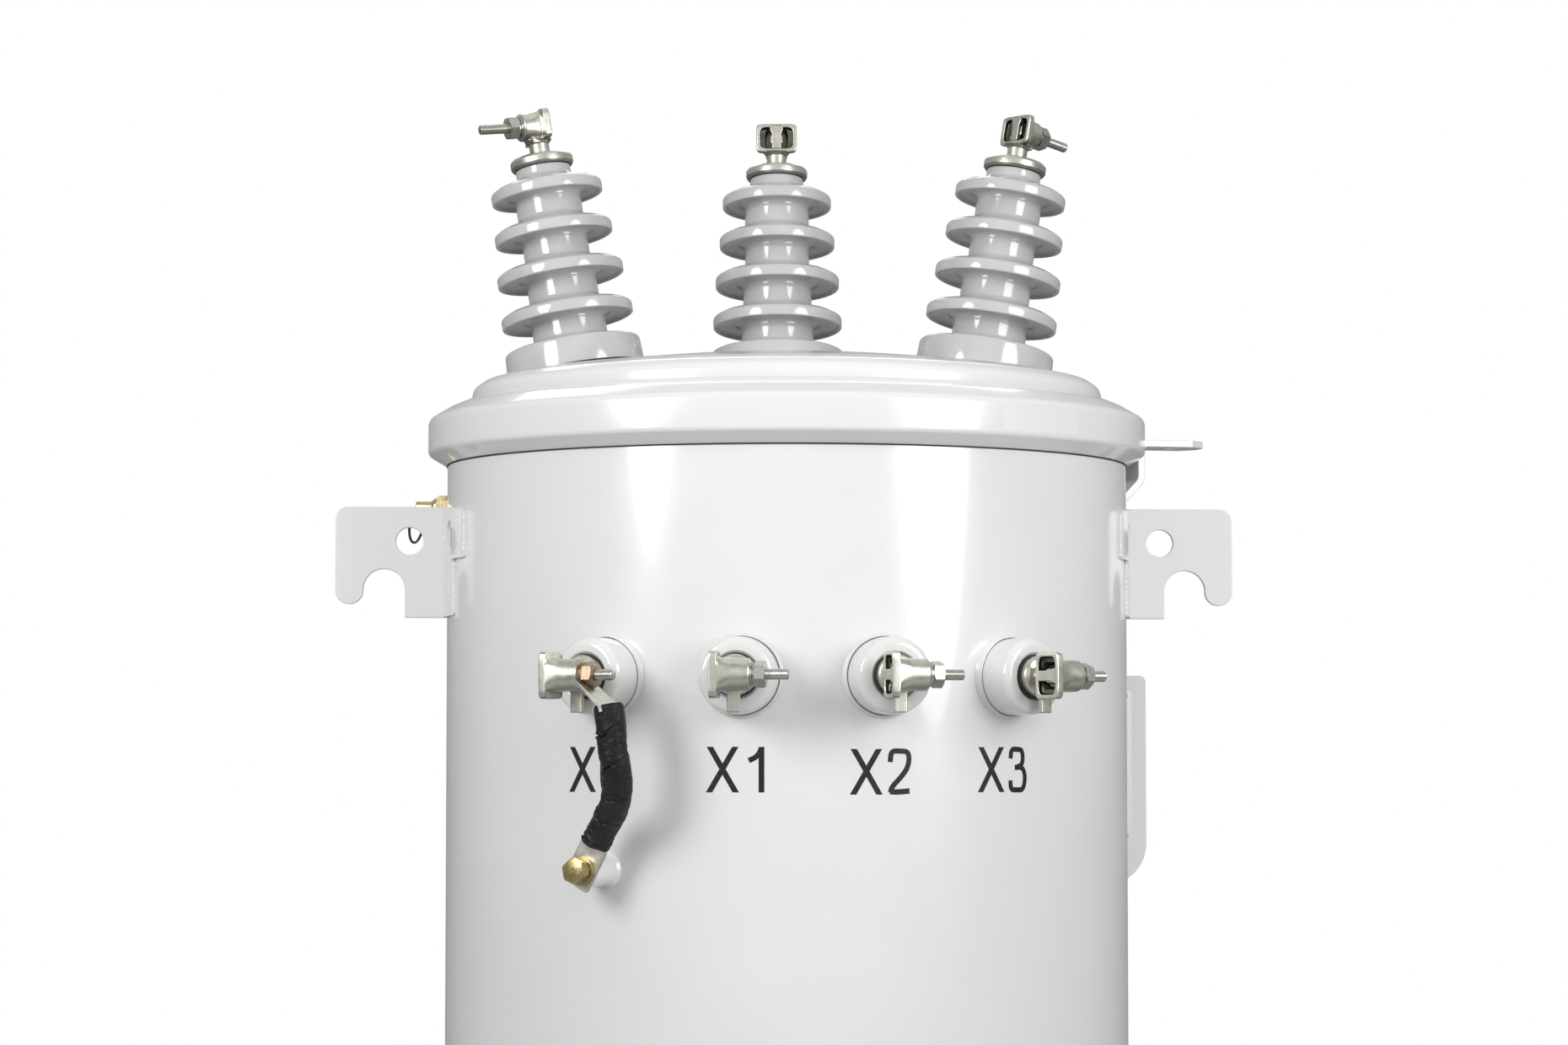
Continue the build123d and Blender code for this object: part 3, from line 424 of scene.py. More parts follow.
class Finish(Wired):
    """A procedural material under construction: a principled shader and the nodes that feed it."""

    def __init__(self, name, **values):
        self.material = bpy.data.materials.new(name)
        self.material.use_nodes = True
        super().__init__(self.material.node_tree)
        self.shader = self.tree.nodes["Principled BSDF"]
        for socket, value in values.items():
            self.shader.inputs[socket.replace("_", " ")].default_value = value
        self.place = self.tree.nodes.new("ShaderNodeTexCoord").outputs["Object"]

    def blend(self, factor, first, second):
        """A colour between two, by a factor."""
        made = self.node("ShaderNodeMix", data_type="RGBA")
        for key, value in ((0, factor), (6, first), (7, second)):
            if isinstance(value, bpy.types.NodeSocket):
                self.tree.links.new(value, made.inputs[key])
            else:
                made.inputs[key].default_value = (*value, 1.0) if key else value
        return made.outputs[2]

    def painted_shade_below(self, colour, depth):
        """The colour, darkened where a face looks down: painted shade on the undersides."""
        normal = self.node("ShaderNodeNewGeometry").outputs["Normal"]
        rise = self.node("ShaderNodeSeparateXYZ", [("Vector", normal)]).outputs["Z"]
        shade = self.blend(depth, colour, (0.0, 0.0, 0.0))
        return self.blend(self.between(rise, 1.0, 0.0, -0.75, 0.1), colour, shade)

    def feed(self, socket, value):
        """Link a value to one of the shader's sockets."""
        self.tree.links.new(value, self.shader.inputs[socket])

    def bump(self, *layers):
        """Bump from (height, strength, distance) layers, the finest last."""
        normal = None
        for height, strength, distance in layers:
            inputs = [("Height", height), ("Strength", strength), ("Distance", distance)]
            if normal:
                inputs.append(("Normal", normal))
            normal = self.node("ShaderNodeBump", inputs).outputs[0]
        self.feed("Normal", normal)


PARTLY, WHOLE = (0.3, 0.7), (0.0, 1.0)


def finish_of(name, tone, colours, grain, bumps, spread=PARTLY, stretch=None, warm=None, shade_below=0, **values):
    """A material whose colour, roughness and relief come from clouds.

    tone is the (scale, detail) of the cloud that mixes the two colours over its spread, grain is (scale,
    detail, low, high) for the roughness, and each bump is (scale, detail, strength, distance)."""
    made = Finish(name, **values)
    colour = made.blend(made.between(made.cloud(*tone), 0.0, 1.0, *spread), *colours)
    if warm:
        colour = made.blend(made.between(made.cloud(60.0, 3.0), 0.0, 0.6), colour, warm)
    # painted shade: the colour darkens on faces that look down
    if shade_below:
        colour = made.painted_shade_below(colour, shade_below)
    made.feed("Base Color", colour)
    if grain:
        made.feed("Roughness", made.between(made.cloud(*grain[:2], stretch), *grain[2:]))
    made.bump(*[(made.cloud(*bump[:2], stretch, *bump[4:]), *bump[2:4]) for bump in bumps])
    return made.material


def porcelain_glaze(name, *colours):
    """Glaze with a soft variation of tone."""
    bumps = [(40.0, 2.0, 0.1, 0.001), (300.0, 2.0, 0.04, 0.0005)]
    grain = (60.0, 3.0, 0.08, 0.17)
    coat = {"Roughness": 0.12, "Coat_Weight": 0.6, "Coat_Roughness": 0.03}
    return finish_of(name, (35.0, 3.0), colours, grain, bumps, **coat)


def cast_tin(name, dark, light, warm):
    """Tinned casting: mottled metal, duller in its grain, with painted shade on faces that look down."""
    bumps = [(140.0, 1.0, 0.12, 0.0005)]
    grain = (150.0, 2.0, 0.27, 0.38)
    return finish_of(name, (160.0, 5.0), (dark, light), grain, bumps, warm=warm, shade_below=0.72, Metallic=1.0)


def plated(name, base, other, roughness=0.25):
    """Plated hardware with cloudy colour, a fine machined grain and painted shade on faces that look down."""
    grain = (600.0, 3.0, roughness * 0.7, roughness * 1.4)
    bumps = [(900.0, 2.0, 0.15, 0.0002)]
    return finish_of(name, (220.0, 4.0), (base, other), grain, bumps, shade_below=0.6, Metallic=1.0)


# Glossy light grey with a faint ripple and orange peel
PAINT = finish_of(
    "tank paint", (7.0, 4.0), ((0.735, 0.74, 0.735), (0.765, 0.768, 0.76)), (30.0, 3.0, 0.16, 0.25),
    [(9.0, 2.0, 0.12, 0.004), (420.0, 2.0, 0.05, 0.0006)],
    Roughness=0.2, Coat_Weight=0.5, Coat_Roughness=0.06,
)
PORCELAIN = porcelain_glaze("grey glaze", (0.49, 0.495, 0.495), (0.555, 0.56, 0.56))
LV_GLAZE = porcelain_glaze("white glaze", (0.71, 0.715, 0.71), (0.75, 0.755, 0.745))
TINNED = cast_tin("tinned casting", (0.60, 0.60, 0.54), (0.80, 0.79, 0.72), (0.72, 0.70, 0.58))
# Painted shade: near-black metal laid in the connectors' hollows, where shade falls
HOLLOW_SHADE = cast_tin("unpolished casting", (0.10, 0.10, 0.09), (0.17, 0.17, 0.15), (0.13, 0.12, 0.09))
STUD = plated("plated stud", (0.50, 0.50, 0.46), (0.62, 0.62, 0.57))
YELLOW_ZINC = plated("yellow zinc", (0.42, 0.33, 0.13), (0.56, 0.48, 0.25), 0.3)
PINK_ZINC = plated("pink zinc", (0.36, 0.26, 0.20), (0.44, 0.35, 0.22), 0.3)
# Painted shade: the pull ring's steel is coloured near black, as it looks in shade
SHADED_WIRE = plated("dark wire", (0.10, 0.10, 0.10), (0.18, 0.18, 0.17), 0.3)
BRASS = plated("valve brass", (0.62, 0.46, 0.24), (0.72, 0.58, 0.36), 0.28)
# Black vinyl: satin, with fine crinkles
TAPE = finish_of(
    "wrapped tape", (120.0, 3.0), ((0.004, 0.004, 0.005), (0.012, 0.012, 0.013)), (260.0, 3.0, 0.3, 0.55),
    [(260.0, 5.0, 0.6, 0.0012, 0.6), (1200.0, 2.0, 0.2, 0.0003)], Roughness=0.38, Specular_IOR_Level=0.28,
)
RUBBER = finish_of(
    "black rubber", (90.0, 3.0), ((0.012, 0.012, 0.012), (0.028, 0.028, 0.027)), None,
    [(900.0, 2.0, 0.3, 0.0003)], WHOLE, Roughness=0.7,
)
# Marking paint, a little worn at its edges
MARKS = finish_of(
    "stencil black", (500.0, 4.0), ((0.012, 0.012, 0.013), (0.05, 0.05, 0.05)), None,
    [(700.0, 2.0, 0.2, 0.0002)], (0.55, 0.8), Roughness=0.45, Specular_IOR_Level=0.3,
)
# Satin plate with its grain along its height
PLATE = finish_of(
    "etched plate", (25.0, 3.0), ((0.66, 0.67, 0.66), (0.74, 0.745, 0.735)), (500.0, 3.0, 0.3, 0.45),
    [(700.0, 2.0, 0.12, 0.0002)], WHOLE, (1.0, 1.0, 0.05), Metallic=0.85,
)
# A clear label: the paint's tone under a smoother skin
LABEL = finish_of(
    "clear label", (40.0, 3.0), ((0.75, 0.755, 0.75), (0.775, 0.778, 0.77)), None,
    [(60.0, 2.0, 0.08, 0.0006)], WHOLE, Roughness=0.28,
)


# ---- Geometry node trees ----
class Tree(Wired):
    """A geometry node tree under construction, with named inputs."""

    def __init__(self, name, inputs):
        super().__init__(bpy.data.node_groups.new(name, "GeometryNodeTree"))
        self.sockets = {}
        face = self.tree.interface
        face.new_socket("Geometry", in_out="INPUT", socket_type="NodeSocketGeometry")
        for label, value in inputs.items():
            socket = face.new_socket(label, in_out="INPUT", socket_type="NodeSocketFloat")
            socket.default_value = value
            self.sockets[label] = socket.identifier
        socket = face.new_socket("Material", in_out="INPUT", socket_type="NodeSocketMaterial")
        self.sockets["Material"] = socket.identifier
        face.new_socket("Geometry", in_out="OUTPUT", socket_type="NodeSocketGeometry")
        self.entry = self.tree.nodes.new("NodeGroupInput")
        self.exit = self.tree.nodes.new("NodeGroupOutput")

    def given(self, label):
        """One of the tree's inputs."""
        return self.entry.outputs[label]

    def made(self, kind, inputs=(), **settings):
        """The first output of a node."""
        return self.node(kind, inputs, **settings).outputs[0]

    def math(self, operation, *values):
        """A sum of numbers or links."""
        return self.made("ShaderNodeMath", list(enumerate(values)), operation=operation)

    def add(self, *values):
        """One plus the other."""
        return self.math("ADD", *values)

    def less(self, *values):
        """One less the other."""
        return self.math("SUBTRACT", *values)

    def times(self, *values):
        """One times the other."""
        return self.math("MULTIPLY", *values)

    def over(self, *values):
        """One divided by the other."""
        return self.math("DIVIDE", *values)

    def path(self, step):
        """The edges that come in, as a curve with its points a step apart."""
        curve = self.made("GeometryNodeMeshToCurve", [("Mesh", self.given("Geometry"))])
        return self.made("GeometryNodeResampleCurve", [("Curve", curve), ("Length", step)], mode="LENGTH")

    def tube(self, path, sides, radius, scale):
        """A capped tube along a path, its round section scaled point by point."""
        section = self.made("GeometryNodeCurvePrimitiveCircle", [("Resolution", sides), ("Radius", radius)])
        inputs = [("Curve", path), ("Profile Curve", section), ("Scale", scale), ("Fill Caps", True)]
        return self.made("GeometryNodeCurveToMesh", inputs)

    def close(self, geometry):
        """End the tree in real geometry with its material set."""
        real = self.made("GeometryNodeRealizeInstances", [("Geometry", geometry)])
        inputs = [("Geometry", real), ("Material", self.given("Material"))]
        skin = self.made("GeometryNodeSetMaterial", inputs)
        self.tree.links.new(skin, self.exit.inputs[0])
        return self


def grown(name, base, tree, values, finish):
    """Grow a mesh from a base mesh by a tree, and keep the result as a plain mesh."""
    obj = link(name, base)
    modifier = obj.modifiers.new("grown", "NODES")
    modifier.node_group = tree.tree
    for label, value in {**values, "Material": finish}.items():
        modifier[tree.sockets[label]] = value
    return applied(obj)


def path_mesh(name, points, closed=False):
    """A mesh of edges that follows points in millimetres."""
    mesh = bpy.data.meshes.new(name)
    edges = [(i, i + 1) for i in range(len(points) - 1)]
    if closed:
        edges.append((len(points) - 1, 0))
    mesh.from_pydata([Vector(p) * MM for p in points], edges, [])
    return mesh


def bead_tree():
    """A weld bead along a path: a flattened round section with overlapping ripples."""
    tree = Tree("weld bead", {"Radius": 0.003, "Ripple": 0.004, "Depth": 0.0004})
    path = tree.path(0.0012)
    along = tree.node("GeometryNodeSplineParameter").outputs["Length"]
    turn = tree.over(along, tree.given("Ripple"))
    wander = tree.cloud(160.0, 2.0)
    saw = tree.math("FRACT", tree.add(turn, tree.times(wander, 0.8)))
    swell = tree.times(tree.less(saw, 0.5), tree.given("Depth"))
    lump = tree.times(tree.less(wander, 0.5), tree.times(tree.given("Radius"), 0.6))
    radius = tree.add(tree.given("Radius"), tree.add(swell, lump))
    return tree.close(tree.tube(path, 10, 1.0, radius))


BEAD = bead_tree()


def thread_tree():
    """A threaded shank along z: a grid rolled round the axis, its radius following a helix."""
    sizes = {"Length": 0.02, "Radius": 0.005, "Pitch": 0.0016, "Depth": 0.0007, "Chamfer": 0.001}
    tree = Tree("screw thread", sizes)
    length, full, pitch, depth, chamfer = (tree.given(label) for label in sizes)
    rows = tree.add(tree.times(tree.over(length, pitch), 6.0), 1.0)
    inputs = [("Size X", 1.0), ("Size Y", 1.0), ("Vertices X", rows), ("Vertices Y", 33)]
    grid = tree.made("GeometryNodeMeshGrid", inputs)
    spot = tree.node("ShaderNodeSeparateXYZ", [("Vector", tree.made("GeometryNodeInputPosition"))])
    high = tree.times(tree.add(spot.outputs[0], 0.5), length)
    turn = tree.add(spot.outputs[1], 0.5)
    phase = tree.add(tree.over(high, pitch), turn)
    groove = tree.times(tree.math("PINGPONG", phase, 0.5), 2.0)
    radius = tree.less(full, tree.times(groove, depth))
    cone = tree.add(tree.less(full, chamfer), tree.less(length, high))
    radius = tree.math("MINIMUM", radius, cone)
    angle = tree.times(turn, 2 * math.pi)
    x = tree.times(radius, tree.math("COSINE", angle))
    y = tree.times(radius, tree.math("SINE", angle))
    point = tree.made("ShaderNodeCombineXYZ", [("X", x), ("Y", y), ("Z", high)])
    rolled = tree.made("GeometryNodeSetPosition", [("Geometry", grid), ("Position", point)])
    inputs = [("Vertices", 32), ("Radius", tree.less(full, chamfer))]
    cap = tree.made("GeometryNodeMeshCircle", inputs, fill_type="NGON")
    lifted = tree.made("ShaderNodeCombineXYZ", [("Z", length)])
    cap = tree.made("GeometryNodeTransform", [("Geometry", cap), ("Translation", lifted)])
    both = tree.node("GeometryNodeJoinGeometry")
    for part in (cap, rolled):
        tree.tree.links.new(part, both.inputs[0])
    inputs = [("Geometry", both.outputs[0]), ("Distance", 0.00002)]
    return tree.close(tree.made("GeometryNodeMergeByDistance", inputs))


THREAD = thread_tree()


def weld(name, points, radius=3.0, closed=False):
    """A painted weld bead along points in millimetres."""
    values = {"Radius": radius * MM, "Ripple": 0.0045, "Depth": 0.0008}
    bead = grown(name, path_mesh(name, points, closed), BEAD, values, PAINT)
    return dress(bead, PAINT, sharp=80)


# ---- Tank, rim, bottom, band, gasket and cover ----
def tank_shell():
    """The tank's wall with its lip, the rim it stands on and the bottom behind the rim."""
    foot = WALL_FOOT_Z
    path = [(0, foot), (TANK_R, foot), (TANK_R, LIP_LOW_Z), (LIP_R, LIP_LOW_Z, 1), (LIP_R, LIP_HIGH_Z, 1)]
    path = soften([*path, (0, LIP_HIGH_Z)])
    path[2:2] = [Vector((TANK_R, z)) for z in range(60, 881, 60)]
    piece("tank_wall", turned(path, ROUND), PAINT, ["tank_body"])
    rim = [(TANK_R, foot), (TANK_R, 0, 1.2), (TANK_R - RIM_T, 0, 1.2), (TANK_R - RIM_T, foot)]
    piece("tank_foot", ring(rim, ROUND), PAINT, ["tank_rim"])
    bottom = [(0, 18), (283, 18), (288, 16.5, 6), (294, 14, 3), (295.7, 14), (295.7, foot), (0, foot)]
    piece("tank_bottom_plate", turned(soften(bottom), 192), PAINT, ["tank_bottom"])
    weld("tank_bottom_weld", [at(360 * k / 240, 295, 17.5) for k in range(240)], 2.6, closed=True)


def clamp_band_and_bolt():
    """The rolled band, split at the rear where its bolt draws two ears together."""
    outer = [
        (300.3, 880.4),
        (BAND_R, BAND_FACE_LOW, 5),
        (BAND_R, BAND_FACE_HIGH, 8),
        (BAND_R - 18, BAND_SLOPE_Z, 16),
        (BAND_TOP_R + 3, BAND_TOP_Z - 0.5, 3),
        (BAND_TOP_R + 0.2, BAND_TOP_Z - 2.6, 1.5),
    ]
    inner = [
        (BAND_TOP_R + 1, BAND_TOP_Z - 4),
        (BAND_R - 20, BAND_SLOPE_Z - 3, 12),
        (BAND_R - BAND_T, BAND_FACE_HIGH - 1.6, 5),
        (BAND_R - BAND_T, BAND_FACE_LOW + 1.6, 3),
        (301.5, 883.4),
    ]
    section = soften(outer, 7) + soften(inner, 5)
    gap = math.degrees(math.asin(BAND_GAP_W / 2 / BAND_R))
    turns = [180 + gap + (360 - 2 * gap) * k / ROUND for k in range(ROUND + 1)]
    shapes = [lofted([[at(turn, p.x, p.y) for p in section] for turn in turns])]
    outline = soften([(0, -12.7, 2), (29, -12.7, 6), (29, 12.7, 6), (0, 12.7, 2)], closed=True)
    reach = BAND_GAP_W / 2 + BAND_EAR_T
    for x in (-reach, BAND_GAP_W / 2):
        shapes.append(placed(prism(outline, 0, BAND_EAR_T), frame_of((x, 314, BAND_BOLT_Z), Y_AXIS, X_AXIS)))
    piece("band", joined(shapes), PAINT, ["clamp_band"], sharp=50)
    place = frame_of((0, BAND_R + BAND_EAR_REACH / 2, BAND_BOLT_Z), Z_AXIS, X_AXIS)
    head = placed(hexagon(16, 5), place @ lift(-reach - 5))
    nut = placed(hexagon(16, 8, hole=4.6), place @ lift(reach))
    piece("band_bolt_head_and_nut", joined([head, nut]), YELLOW_ZINC, ["band_bolt"], sharp=30)
    shank = placed(thread(2 * reach + 14, 4.9, BAND_BOLT_PITCH), place @ lift(-reach))
    piece("band_bolt_shank", shank, YELLOW_ZINC, sharp=60)


def hexagon(flats, thick, hole=0.0):
    """A nut or bolt head: six flats whose corners are cut back by a cone at both ends."""
    inscribed = flats / 2
    sixth, across = math.pi / 3, []
    for a in range(0, 360, 5):
        across.append(inscribed / math.cos((math.radians(a) + sixth / 2) % sixth - sixth / 2))

    def corner(angle):
        return across[round(math.degrees(angle) / 5) % 72]

    def low(angle):
        return (corner(angle) - inscribed * 0.95) * 0.5

    def high(angle):
        return thick - (corner(angle) - inscribed * 0.95) * 0.5

    rings = [(inscribed * 0.95, 0), (corner, low), (corner, high), (inscribed * 0.95, thick)]
    if hole:
        rings = [(hole, 0.6), (hole + 0.6, 0), *rings, (hole + 0.6, thick), (hole, thick - 0.6)]
        return turned(rings, 72, closed=True)
    return turned([(0, 0), *rings, (0, thick)], 72)


def thread(length, radius, pitch):
    """A threaded shank as a shape in millimetres, grown by the screw thread tree."""
    base = bpy.data.meshes.new("thread base")
    values = {"Length": length * MM, "Radius": radius * MM, "Pitch": pitch * MM}
    values |= {"Depth": THREAD_DEPTH_M, "Chamfer": THREAD_CHAMFER_M}
    return taken(grown("thread base", base, THREAD, values, STUD))


def cover_skin():
    """The cover: wall, rounded shoulder and dome, with a raised seat for each bushing."""
    path = [(0, COVER_FOOT_Z), (COVER_R, COVER_FOOT_Z), (COVER_R, COVER_SHOULDER_Z + 2, 10)]
    path += [(COVER_R - 10, COVER_SHOULDER_Z + 9, 12), (DOME_R + 4, DOME_FOOT_Z - 0.8, 12)]
    path = soften([*path, (DOME_R, DOME_FOOT_Z)], 8)[:-1]
    turn = math.asin(DOME_R / DOME_SPHERE_R)
    for step in range(28):
        angle = turn * (1 - step / 27)
        settled = DOME_SETTLED * min(1.0, step / 6)
        height = DOME_CENTRE_Z - settled + DOME_SPHERE_R * math.cos(angle)
        path.append(Vector((DOME_SPHERE_R * math.sin(angle), height)))
    shapes = [turned(path, ROUND)]
    seat = [(0, -12), (65, -12), (63.9, 0.5, 1.5), (HV_PAD_R - 1, 4.7, 0.8), (59, 5.0), (59, 4.6), (0, 4.6)]
    shapes += [placed(turned(soften(seat, 8), 128), bushing_frame(name)) for name in HV_PLACES]
    piece("cover_dome", joined(shapes), PAINT, ["cover"], sharp=50)
    seal = ring([(50, 4.6), (64.2, 4.6, 0.4), (64.2, 7.2, 0.4), (50, 7.2)], 96)
    for name in HV_PLACES:
        piece(f"hv_seal_{name}", placed(seal, bushing_frame(name)), RUBBER, sharp=60)


# ---- High voltage bushings ----
def hv_porcelain(name):
    """One porcelain: a flange, four rounded sheds on a tapering core, and the top neck."""
    core = [(0, 0), (HV_FLANGE_R - 0.3, 0, 1.2), (HV_FLANGE_R - 1.6, HV_FLANGE_H - 0.3, 3.5)]
    necks = [*HV_NECK_R, HV_TOP_NECK_R]
    path = [*core, (necks[0] + 5, HV_FLANGE_H + 1.5, 10), (necks[0], HV_FLANGE_H + 6, 5)]
    for step, shed_r in enumerate(HV_SHED_R):
        middle = HV_FLANGE_H + HV_SHED_FIRST + step * HV_SHED_PITCH
        below, above = necks[step], necks[step + 1]
        path += [
            (below, middle - 5.0, 5),
            (below + 7, middle - 1.6, 6),
            (shed_r - 4.6, middle - 3.0, 2),
            (shed_r - 2.6, middle - 6.5, 1.2),
            (shed_r - 0.2, middle - 6.4, 1.4),
            (shed_r, middle + 3.0, 3.6),
            (shed_r - 6, middle + 6.4, 7),
            (above + 3, middle + 10.2, 9),
            (above, middle + 14.5, 4),
        ]
    path += [(HV_TOP_NECK_R, HV_TOP, 1.0), (0, HV_TOP)]
    shape = placed(turned(soften(path, 6), 96), bushing_frame(name, HV_PAD_H))
    return piece(f"hv_porcelain_{name}", shape, PORCELAIN, [f"hv_bushing_{name}"], sharp=70)


def hv_cap(name):
    """The metal cap crimped over the top neck."""
    path = [(0, 0.3), (25.4, 0.3), (27.2, 0.0, 1.0), (CAP_R, 2.6, 2.0), (CAP_R, 8.0, 2.5)]
    path += [(26.4, CAP_H - 2.2, 2.5), (15, CAP_H - 1), (12.4, CAP_H + 0.4, 3)]
    path += [(10.6, CAP_H + 0.9), (0, CAP_H + 0.9)]
    shape = placed(turned(soften(path, 5), 96), bushing_frame(name, HV_PAD_H + HV_TOP))
    piece(f"hv_crown_{name}", shape, TINNED, [f"hv_cap_{name}"], sharp=60)


# ---- Connectors ----
def superellipse(x, half_y, half_z, power, sides=48):
    """A section across x, from round (2) to nearly square (9)."""
    row = []
    for k in range(sides):
        c, s = math.cos(2 * math.pi * k / sides), math.sin(2 * math.pi * k / sides)
        reach = (abs(c / half_y) ** power + abs(s / half_z) ** power) ** (-1 / power)
        row.append(Vector((x, reach * c, reach * s)))
    return row


def casting_blank(name, end, stem_x, stem_r, stem_h, head):
    """One connector casting in its own axes: a flanged cup that tapers to the stud, on a stem."""
    foot_z = -JAW_H / 2 - 4
    stem_z = foot_z + 4 - stem_h
    outline = [
        (end, 10.6, 10.6, 2), (end - 0.5, 12.0, 12.0, 2), (end - 1.6, 13.0, 12.8, 2), (16, 13.2, 13.0, 2.2),
        (10, 13.5, 13.5, 3), (7.0, 13.8, 13.8, 4), (6.2, 18.8, 13.9, 9), (0.5, 19.2, 13.9, 9),
        (0, 18.4, 13.2, 9), (0, 15.8, 10.6, 6), (0.5, 15.4, 10.2, 6), (4.0, 15.0, 10.0, 6),
        (4.4, 10.8, 9.8, 5), (11, 9.8, 8.6, 4),
    ]
    shapes = [lofted([superellipse(*section) for section in outline])]
    stem = [(0, stem_z - 0.5), (stem_r, stem_z - 0.5), (stem_r, foot_z + 1)]
    stem += [(stem_r + 3.5, foot_z + 5), (0, foot_z + 7)]
    shapes.append(placed(turned(stem, 40), Matrix.Translation((stem_x, 0, 0))))
    shapes.append(block((2.5, 16), (-10, 10), (foot_z + 1.5, foot_z + 6)))
    if head:
        disc = [(0, -8), (16.4, -8), (LV_HEAD_R, -7.2), (LV_HEAD_R, -2.4), (15.8, -0.9), (11, 0.8), (0, 1.6)]
        shapes.append(placed(turned(disc, 56), Matrix.Translation((stem_x, 0, stem_z))))
        x, top = stem_x - TONGUE_W / 2, foot_z + 0.2
        for left, right, thick in ((0, TONGUE_W, 2.4), (0, 2.6, 4.4), (TONGUE_W - 2.6, TONGUE_W, 4.4)):
            shapes.append(block((x + left, x + right), (-TONGUE_REACH, 2), (top - thick, top)))
    obj = link(name, mesh_of(name, joined(shapes)))
    fused = obj.modifiers.new("fused", "REMESH")
    fused.mode, fused.voxel_size, fused.adaptivity = "VOXEL", CASTING_VOXEL * MM, 0.0
    eased = obj.modifiers.new("eased", "SMOOTH")
    eased.factor, eased.iterations = 0.5, 3
    obj.modifiers.new("lean", "DECIMATE").ratio = CASTING_KEPT
    return taken(applied(obj))


def stud_shapes(end, washer_t):
    """A headed stud with its nut: the column across the jaws, the nose behind it, thread, washers."""
    column = [(-4.4, -10.5, 2), (4.4, -10.5, 2), (4.4, 4, 3), (6.2, 8.5, 3), (6.2, 13.7, 1.2)]
    column += [(-6.2, 13.7, 1.2), (-6.2, 8.5, 3), (-4.4, 4, 3)]
    front = frame_of((0, 0, 0), Y_AXIS, X_AXIS)
    head = placed(prism(soften(column, 4, closed=True), 0, 4.4), front)
    nose = placed(prism(rounded(5.8, 5.8, 4, 5), 3, 15.4), front)
    shank = placed(turned([(0, 13), (4.4, 13), (4.4, end + 2), (0, end + 2)], 32), front)
    start = end + 1
    screw = placed(thread(STUD_END - start, STUD_R + 0.5, STUD_PITCH), front @ lift(start))
    seat = end + (washer_t or STRAP_T + 1.5)
    turn = Matrix.Rotation(0.35, 4, "Z")
    nut = placed(hexagon(NUT_FLATS, NUT_T - 1.6, hole=3.8), front @ lift(seat + 0.1) @ turn)
    flat = [(4.6, STRAP_T), (10.2, STRAP_T, 0.4), (10.2, STRAP_T + 1.5, 0.4), (4.6, STRAP_T + 1.5)]
    washers = [flat]
    if washer_t:
        flat = [(4.6, 0), (WASHER_R, 0, 0.4), (WASHER_R, 1.2, 0.4), (4.6, 1.2)]
        washers = [flat, [(4.8, 1.3), (9.0, 1.3, 0.3), (9.0, 2.9, 0.3), (4.8, 2.9)]]
    washers = placed(joined([ring(washer, 48, 3) for washer in washers]), front @ lift(end))
    return {"head": joined([head, nose]), "shank": joined([shank, screw]), "nut": nut, "washers": washers}


def connector(name, blank, place, end, washer_t, nut_finish):
    """One connector in place: its casting with painted shade in its hollow, and the stud with its nut and
    washers.
    """
    kind, mark = name.split("_")
    stands = [f"{kind}_casting_{mark}"]
    casting = piece(f"{name}_clamp", placed(blank, place), TINNED, stands, sharp=75)
    casting.data.materials.append(HOLLOW_SHADE)
    # faces inside the cup's hollow take the second material, which paints the shade there
    for face, corners in zip(casting.data.polygons, blank[1]):
        middle = sum((Vector(blank[0][k]) for k in corners), Vector()) / len(corners)
        if middle.x > 4.6:
            deep = math.hypot(middle.y, middle.z) < 11.2
        else:
            deep = abs(middle.y) < 15.6 and abs(middle.z) < 10.6
        face.material_index = int(deep and 0.8 < middle.x < 12)
    parts = {key: placed(shape, place) for key, shape in stud_shapes(end, washer_t).items()}
    piece(f"{name}_bolt_head", parts["head"], TINNED, sharp=40, bevel=0.9, bevel_angle=40)
    piece(f"{name}_bolt", parts["shank"], STUD, [f"{kind}_stud_{mark}"], sharp=60)
    piece(f"{name}_nut", parts["nut"], nut_finish, sharp=28)
    piece(f"{name}_washers", parts["washers"], nut_finish, sharp=40)


# ---- Low voltage bushings ----
def lv_bushing(name):
    """A round body on the wall with a soft front edge and a seal; returns the thin collar round it."""
    place = wall_frame(lv_azimuth(name), LV_Z)

    def on_wall(radius, rise=0.0):
        return lambda angle: math.sqrt(TANK_R**2 - (radius * math.cos(angle)) ** 2) - TANK_R + rise

    body = [(0, -6), (LV_BODY_R - 1, on_wall(LV_BODY_R, -1)), (LV_BODY_R - 0.3, 2)]
    front = [(LV_BODY_R, 6), (LV_BODY_R - 0.6, LV_BODY_H, 7), (19.6, LV_BODY_H - 0.2, 2)]
    front = soften([*front, (19.0, LV_BODY_H - 2.2, 1), (17.8, LV_BODY_H - 2.2)], 7)
    shape = turned([*body, *[(p.x, p.y) for p in front], (0, LV_BODY_H - 2.2)], 96)
    piece(f"lv_body_{name}", placed(shape, place), LV_GLAZE, [f"lv_bushing_{name}"], sharp=60)
    low, high = LV_BODY_H - 3, LV_BODY_H + 0.4
    seal = ring([(12, low), (18.4, low), (18.4, high, 1), (12, high)], 72, 4)
    piece(f"lv_seal_{name}", placed(seal, place), RUBBER, sharp=60)
    outer, inner = LV_COLLAR_R, LV_COLLAR_R - LV_COLLAR_T - 0.2
    collar = [(inner, on_wall(inner, -0.4)), (inner, 3.6), (inner + 0.4, 4.2)]
    collar += [(inner + 1.0, 4.0), (inner + 1.2, 2.0), (outer, on_wall(outer, 0.2))]
    return placed(turned(collar, 96, closed=True), place)


